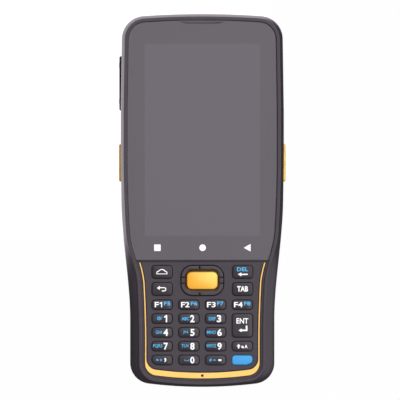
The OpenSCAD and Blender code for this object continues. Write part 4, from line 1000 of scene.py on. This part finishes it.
# the left trigger takes the yellow with painted shade, the right one the yellow with painted light
for name, side, tone in (("trigger_left", -1, "yellow"), ("trigger_right", 1, "triggerYellowLit")):
    cap = sideSolid(name + "_cap", triggerY, triggerLen, triggerH, side, sideProfile(sideKeys["flange"]),
                    sideKeys["crown"])
    dress(cap, materials[tone], name, [name])
    firstRib = (side * triggerRibs["x"], triggerY - triggerRibs["down"], sideKeys["z"])
    addRibs(name + "_ribs", tone, name, firstRib, triggerRibs)

rocker = dict(flangeShare=0.6, flange=[(1.1, -1.2), (1.1, -0.42)], pinIn=0.7, pinLow=5.4, pinHigh=15.0,
              pinR=0.6, signReach=8.2, signHalf=1.1, signLine=0.2, signDeep=0.1, signProud=0.02)
rockerY, rockerLen, rockerH = sideKeys["rockerY"], sideKeys["rockerLen"], sideKeys["rockerH"]
rockerCap = sideSolid("volume_rocker_cap", rockerY, rockerLen, rockerH, -1, sideProfile(0), sideKeys["crown"])
rockerBar = sideSolid("rocker_flange", rockerY, rockerLen * rocker["flangeShare"], rockerH, -1,
                      rocker["flange"])
rockerWall = halfAt(bodyPlan, rockerY) - shell["sideWall"]
pinX = -rockerWall + rocker["pinIn"]
rockerPin = barSolid("rocker_pin", (pinX, rockerY, rocker["pinLow"]), (pinX, rockerY, rocker["pinHigh"]),
                     rocker["pinR"], 24, 0.1)
dress(joined("volume_rocker_body", [rockerCap, rockerBar, rockerPin]), materials["rocker"], "volume_rocker",
      ["volume_rocker"])

# a plus at the rocker's upper end and a minus at its lower end
signX = -(rockerWall + shell["sideWall"] + sideKeys["proud"] + rocker["signProud"])
deep, reach, long, thin = (rocker[key] for key in ("signDeep", "signReach", "signHalf", "signLine"))
signs = []
for end, halfY, halfZ in ((1, long, thin), (1, thin, long), (-1, long, thin)):
    y = rockerY + end * reach
    signs.append(blockSolid("sign", signX - deep, signX + deep, y - halfY, y + halfY, sideKeys["z"] - halfZ,
                            sideKeys["z"] + halfZ, 0.05))
dress(joined("volume_rocker_signs", signs), materials["rocker"], "volume_rocker")
print("side keys done")

# rear housing: a rounded tub, carved. These values also size the pieces that sit in its openings
rear = dict(bayHalf=26.3, bayLow=-65.95, bayHigh=2.05, bayTop=12.9, bayWall=1.3,
            bayRadii=(0.4, 3.3, 3.3, 0.4), boardLow=14.2, cavityTop=18, outside=-1, seam=16.4, past=0.6,
            flare=0.3, sideWindow=[(0.3, -1), (0.3, 1.95), (0.75, 2.4), (1.2, 4)])
tubLevels = [(0, 4.5), (0.12, 3.9), (0.4, 3.25), (0.8, 2.6), (1.4, 1.85), (2.2, 1.2), (3.2, 0.75), (4.5, 0.4),
             (6, 0.15), (8, 0), (12, 0), (16.2, 0), (rear["seam"], 0.15)]
screws = dict(places=[(28.0, 74.05), (28.8, 6.0), (23.3, -73.55)], bossR=2.8, headR=2.3, headDepth=2.4,
              shankR=1.2)
inserts = dict(places=[(-20, 48.55), (20, 48.55), (0, -71.05)], bossR=3.2, bossTop=6.3, r=2.1, depth=6)
contactPits = dict(xs=[(k - 2.5) * 5 for k in range(6)], y=-76.35, w=2.4, h=4, r=0.3, depth=3)
speakerSlots = dict(xs=[k * 2.6 for k in range(-3, 4)], y=34.55, w=1.2, h=10, r=0.58, depth=3)
rearCamera = dict(x=-10, y=56.55, recess=9.2, recessR=2.1, recessDepth=1.3, mouth=0.25, hole=3.24, holeLow=1,
                  holeHigh=3, pane=9, paneR=2, low=0.3, high=1.3, edge=0.15)
flash = dict(x=1, y=56.55, opening=2.05, depth=3, r=2.0, low=0.3, high=2.2, footR=2.7, footLow=2.0,
             footHigh=3.2)
scanEnd = dict(x=-5, z=9.2, w=30, h=10, r=1.6, opening=[(0.1, 1.05), (0.1, 2.75), (0.6, 3.25), (1.2, 5)],
               pane=[(0, 1.05), (0, 2.25), (-0.08, 2.4), (-0.25, 2.45)],
               throatW=27.6, throatH=7.6, throatR=0.6, throat=[(0, -1), (0, 4)])
power = dict(x=21, z=10.2, w=7, h=3.2, openingR=1.5, opening=[(0.3, -1.5), (0.3, 2.6), (0.6, 2.9), (1.2, 5)],
             r=1.4, back=0.49,
             cap=[(1.1, -1.1), (1.1, -0.3), (0, -0.3), (0, 2.75), (-0.1, 2.95), (-0.35, 3.08)])
# openings that are plain blocks: x, y and z, each low and high
blockOpenings = dict(latchSlot=(-8.3, 8.3, 3.65, 14.25, -1, 3), tongueWay=(-5.1, 5.1, 1.75, 3.95, 2.01, 3.9),
                     usbPort=(-4.65, 4.65, -86, -80, 10.9, 14.2))
endWallY = bodyPlan["top"] - shell["endWall"]


# outlines that can be asked for at any growth: the corners grow along, or keep their radii
def rectAt(x, y, w, h, r):
    return lambda grow: roundRect(w + 2 * grow, h + 2 * grow, [r + grow] * 4, x, y)


def fixedRectAt(x, y, w, h, radii):
    return lambda grow: roundRect(w + 2 * grow, h + 2 * grow, radii, x, y)


def pitCutter(outline, depth, mouth=0.2):
    levels = [(mouth + rear["flare"], rear["outside"]), (mouth, 0), (0, mouth), (0, depth)]
    return closedLoft("cutter", [atHeight(outline(grow), z) for grow, z in levels])


# a solid that points out through the scan end
def endSolid(name, outline, profile):
    rings = [[(x, endWallY + out, z) for x, z in outline(grow)] for grow, out in profile]
    return closedLoft(name, rings, sharp=40)


scanOpening = rectAt(scanEnd["x"], scanEnd["z"], scanEnd["w"], scanEnd["h"], scanEnd["r"])


# a round bar that stands up from the back
def standingBar(name, x, y, low, high, r, sides=32, bevel=0.0):
    return barSolid(name, (x, y, low), (x, y, high), r, sides, bevel)


def rearHousing():
    outside, backWall, seam = rear["outside"], shell["backWall"], rear["seam"]
    tub = closedLoft("rearTub", [atHeight(outlineOf(bodyPlan, inset), z) for z, inset in tubLevels], sharp=30)
    cavity = closedLoft("cavity", [atHeight(innerWall(bodyPlan), z) for z in (backWall, rear["cavityTop"])])
    half, low, high, wall = rear["bayHalf"], rear["bayLow"], rear["bayHigh"], rear["bayWall"]
    bay = fixedRectAt(0, (high + low) / 2, 2 * half, high - low, rear["bayRadii"])
    standing = [blockSolid("bay", -half - wall, half + wall, low - wall, high + wall, outside,
                           rear["boardLow"], 0)]
    cuts = [pitCutter(bay, rear["bayTop"], 0.3)]
    for x, y in [(s * x, y) for x, y in screws["places"] for s in (-1, 1)]:
        standing.append(standingBar("boss", x, y, outside, seam, screws["bossR"]))
        cuts.append(pitCutter(discAt(x, y, screws["headR"]), screws["headDepth"], 0.3))
        cuts.append(standingBar("shank", x, y, backWall, seam + rear["past"], screws["shankR"], 24))
    for x, y in inserts["places"]:
        standing.append(standingBar("boss", x, y, outside, inserts["bossTop"], inserts["bossR"]))
        cuts.append(pitCutter(discAt(x, y, inserts["r"]), inserts["depth"]))
    for x in contactPits["xs"]:
        pit = fixedRectAt(x, contactPits["y"], contactPits["w"], contactPits["h"], [contactPits["r"]] * 4)
        cuts.append(pitCutter(pit, contactPits["depth"]))
    for x in speakerSlots["xs"]:
        slot = rectAt(x, speakerSlots["y"], speakerSlots["w"], speakerSlots["h"], speakerSlots["r"])
        cuts.append(pitCutter(slot, speakerSlots["depth"]))
    eyeX, eyeY = rearCamera["x"], rearCamera["y"]
    recess = rectAt(eyeX, eyeY, rearCamera["recess"], rearCamera["recess"], rearCamera["recessR"])
    cuts.append(pitCutter(recess, rearCamera["recessDepth"], rearCamera["mouth"]))
    cuts.append(standingBar("cameraHole", eyeX, eyeY, rearCamera["holeLow"], rearCamera["holeHigh"],
                            rearCamera["hole"]))
    cuts.append(pitCutter(discAt(flash["x"], flash["y"], flash["opening"]), flash["depth"]))
    cuts += [blockSolid(name, *span, 0) for name, span in blockOpenings.items()]
    # side windows and the windows in the scan end, each with a chamfered mouth
    for side in (-1, 1):
        cuts.append(sideSolid("cutter", triggerY, triggerLen, triggerH, side, rear["sideWindow"]))
    cuts.append(sideSolid("cutter", rockerY, rockerLen, rockerH, -1, rear["sideWindow"]))
    scanThroat = fixedRectAt(scanEnd["x"], scanEnd["z"], scanEnd["throatW"], scanEnd["throatH"],
                             [scanEnd["throatR"]] * 4)
    powerOpening = rectAt(power["x"], power["z"], power["w"], power["h"], power["openingR"])
    cuts.append(endSolid("cutter", scanOpening, scanEnd["opening"]))
    cuts.append(endSolid("cutter", scanThroat, scanEnd["throat"]))
    cuts.append(endSolid("cutter", powerOpening, power["opening"]))
    return carve(tub, [carve(cavity, standing)] + cuts, sharp=30)


dress(rearHousing(), materials["housing"], "terminal", ["rear_housing"])
print("rear housing done")

# scan window, power button, camera window and flash
dress(endSolid("scanWindowPane", scanOpening, scanEnd["pane"]), materials["window"], "terminal",
      ["scan_window"])
powerProfile = [(grow, out - power["back"]) for grow, out in power["cap"]]
powerOutline = rectAt(power["x"], power["z"], power["w"], power["h"], power["r"])
dress(endSolid("power_button_cap", powerOutline, powerProfile), materials["rocker"], "power_button",
      ["power_button"])


# a flat solid whose rounded edge faces the back
def backSheet(name, outline, low, high, fillet):
    obj = platedSolid(name, [lambda inset: outline(-inset)], low, high, fillet)
    for v in obj.data.vertices:
        v.co.z = (low + high) * mm - v.co.z
    obj.data.flip_normals()
    return obj


paneOutline = rectAt(rearCamera["x"], rearCamera["y"], rearCamera["pane"], rearCamera["pane"],
                     rearCamera["paneR"])
dress(backSheet("cameraWindowPane", paneOutline, rearCamera["low"], rearCamera["high"], rearCamera["edge"]),
      materials["cameraGlass"], "terminal", ["camera_window"])
flashBody = standingBar("flashBody", flash["x"], flash["y"], flash["low"], flash["high"], flash["r"], 40, 0.2)
flashFoot = standingBar("flashFoot", flash["x"], flash["y"], flash["footLow"], flash["footHigh"],
                        flash["footR"], 40, 0.1)
dress(joined("flashLensDome", [flashBody, flashFoot]), materials["lens"], "terminal", ["flash_lens"])
print("windows done")

# battery pack: its cover, the block inside, and the barrel and pins that it swings on
pack = dict(w=51.8, low=0.3, cover=2.3, coverEdge=0.35, top=12.6, y0=-65.65, y1=1.75, lip=1.5, r=3,
            hingeR=0.4, pinY=-63.95, pinZ=2.0, barrelR=1.7, pinR=1, pinReach=27.5)
packGrips = dict(size=(18, 0.7, 0.24), pitch=1.7, count=6, bevel=0.08, y=-12)


def packCover(grow):
    radii = [pack["hingeR"], pack["r"] + grow, pack["r"] + grow, pack["hingeR"]]
    return roundRect(pack["w"] + 2 * grow, pack["y1"] - pack["pinY"] + 2 * grow, radii, 0,
                     (pack["y1"] + pack["pinY"]) / 2)


def acrossPack(name, reach, r, sides, bevel):
    start, end = ((x, pack["pinY"], pack["pinZ"]) for x in (-reach, reach))
    return barSolid(name, start, end, r, sides, bevel)


halfPack = pack["w"] / 2
packPieces = [
    backSheet("packCover", packCover, pack["low"], pack["cover"], pack["coverEdge"]),
    blockSolid("packBody", -halfPack, halfPack, pack["y0"], pack["y1"] - pack["lip"], pack["pinZ"],
               pack["top"], 0.5),
    acrossPack("packBarrel", halfPack, pack["barrelR"], 40, 0.15),
    acrossPack("packPins", pack["pinReach"], pack["pinR"], 32, 0.1),
]
dress(joined("battery_pack_body", packPieces), materials["housing"], "battery_pack",
      ["battery_pack"])
addRibs("battery_pack_grips", "housing", "battery_pack", (0, packGrips["y"], pack["low"]),
        packGrips)

# battery latch: x, y and z, each low and high, then the edge's rounding
latchBlocks = dict(latchBody=(-8, 8, 3.95, 10.95, 0.3, 2.35, 0.25),
                   latchFlange=(-9.6, 9.6, 3.75, 12.55, 2.3, 3.6, 0.1),
                   latchTongue=(-4.8, 4.8, 2.35, 4, 2.3, 3.6, 0.1))
latchRibs = dict(size=(12, 0.6, 0.5), pitch=1.4, count=4, bevel=0.1, start=(0, 5.25, 0.3))
latchPieces = [blockSolid(name, *span) for name, span in latchBlocks.items()]
dress(joined("battery_latch_body", latchPieces), materials["rocker"], "battery_latch",
      ["battery_latch"])
addRibs("battery_latch_ribs", "rocker", "battery_latch", latchRibs["start"], latchRibs)
print("back done")

# CAD pieces that keep their shape get their finish
kept = dict(
    housing_seal="seal", display_module="display", display_tray="tray", receiver="steel", keypad_mat="mat",
    keypad_board="board", main_board="board", scan_engine="module", camera_module="module", speaker="module",
    microphone="gold", charging_contacts="gold", usb_connector="steel", housing_screws="steel",
    strap_inserts="gold", battery_contacts="gold", vibration_motor="steel", side_switches="module",
    nav_gimbal="steel")
for name, tone in kept.items():
    nodes[name].data.materials.clear()
    nodes[name].data.materials.append(materials[tone])
print("kept CAD pieces:", len(kept))

# the floor is white to the camera, and in reflections it holds a white card at the upper left and a grey one
# at the lower right
studio = dict(floorSize=4.0, floorTone=0.35, cameraShare=0.985, glossLow=0.05, cardX=(0.042, 0.03),
              cardY=(-0.038, -0.014), sideX=(0.045, 0.06), sideY=(-0.026, -0.038), sideGlow=0.5, cardGlow=1.2,
              cardTint=(1.0, 0.9, 1.0, 1.0), plain=(1.0, 1.0, 1.0, 1.0))
floorHalf = studio["floorSize"] / 2
floorMesh = bpy.data.meshes.new("floor")
floorCorners = [(sx * floorHalf, sy * floorHalf, 0) for sx, sy in ((-1, -1), (1, -1), (1, 1), (-1, 1))]
floorMesh.from_pydata(floorCorners, [], [(0, 1, 2, 3)])
floor = newObject("floor", floorMesh)
floorMaterial = bpy.data.materials.new("paleFloor")
floorMaterial.use_nodes = True
tree = floorMaterial.node_tree
tree.nodes.clear()
ray = addNode(tree, "ShaderNodeLightPath").outputs
axes = axesOf(tree, objectPlace(tree))
card, sideCard = (
    mathNode(tree, "MULTIPLY", mathNode(tree, "MULTIPLY", ramp(tree, axes["X"], *studio[xKey]),
                                        ramp(tree, axes["Y"], *studio[yKey])), studio[glowKey])
    for xKey, yKey, glowKey in (("cardX", "cardY", "cardGlow"), ("sideX", "sideY", "sideGlow")))
cardShare = mathNode(tree, "MAXIMUM", mathNode(tree, "MAXIMUM", card, sideCard), studio["glossLow"])
mirror = mathNode(tree, "MAXIMUM", ray["Is Glossy Ray"], ray["Is Transmission Ray"])
share = mathNode(tree, "MULTIPLY_ADD", ray["Is Camera Ray"], studio["cameraShare"], mirror)
diffuse = addNode(tree, "ShaderNodeBsdfDiffuse", {"Color": (studio["floorTone"],) * 3 + (1,)})
glow = addNode(tree, "ShaderNodeEmission", {
    "Color": mixColours(tree, ray["Is Camera Ray"], studio["cardTint"], studio["plain"]),
    "Strength": mathNode(tree, "MAXIMUM", ray["Is Camera Ray"], cardShare)})
blend = addNode(tree, "ShaderNodeMixShader", {0: share, 1: diffuse.outputs[0], 2: glow.outputs[0]})
addNode(tree, "ShaderNodeOutputMaterial", {"Surface": blend.outputs[0]})
floorMesh.materials.append(floorMaterial)

# the soft light falls mostly from above, and reflections find a brighter sky at the upper right
air = dict(ambientLow=0.12, ambientHigh=0.62, skyMiddle=0.6, skyX=1.7, skyY=1.2, skyLow=0.08, skyHigh=2.2)
world = bpy.data.worlds.new("studioWorld")
bpy.context.scene.world = world
world.use_nodes = True
sky = world.node_tree
sky.nodes.clear()
ray = addNode(sky, "ShaderNodeLightPath").outputs
axes = axesOf(sky, addNode(sky, "ShaderNodeTexCoord").outputs["Generated"])
fromAbove = mathNode(sky, "MULTIPLY_ADD", axes["Z"], air["ambientHigh"], air["ambientLow"])
slant = mathNode(sky, "MULTIPLY_ADD", axes["X"], air["skyX"], air["skyMiddle"])
slant = mathNode(sky, "MULTIPLY_ADD", axes["Y"], air["skyY"], slant)
slant = mathNode(sky, "MINIMUM", mathNode(sky, "MAXIMUM", slant, air["skyLow"]), air["skyHigh"])
ambient, backdrop = (
    addNode(sky, "ShaderNodeBackground", {"Color": studio["plain"], "Strength": strength})
    for strength in (mathNode(sky, "MAXIMUM", fromAbove, air["ambientLow"]),
                     mathNode(sky, "MAXIMUM", slant, ray["Is Camera Ray"])))
shown = mathNode(sky, "MAXIMUM", ray["Is Camera Ray"], ray["Is Glossy Ray"])
shown = mathNode(sky, "MAXIMUM", shown, ray["Is Transmission Ray"])
skyMix = addNode(sky, "ShaderNodeMixShader", {0: shown, 1: ambient.outputs[0], 2: backdrop.outputs[0]})
addNode(sky, "ShaderNodeOutputWorld", {"Surface": skyMix.outputs[0]})

lamp = dict(place=(0.1, 0.2, 1.45), size=0.7, power=16)
lampData = bpy.data.lights.new("key", "AREA")
lampData.shape = "SQUARE"
lampData.size = lamp["size"]
lampData.energy = lamp["power"]
keyLamp = newObject("key", lampData)
keyLamp.location = lamp["place"]
keyLamp.rotation_euler = (-Vector(lamp["place"])).to_track_quat("-Z", "Y").to_euler()
keyLamp.visible_glossy = False
bpy.context.scene.view_settings.view_transform = "Standard"
print("studio done")
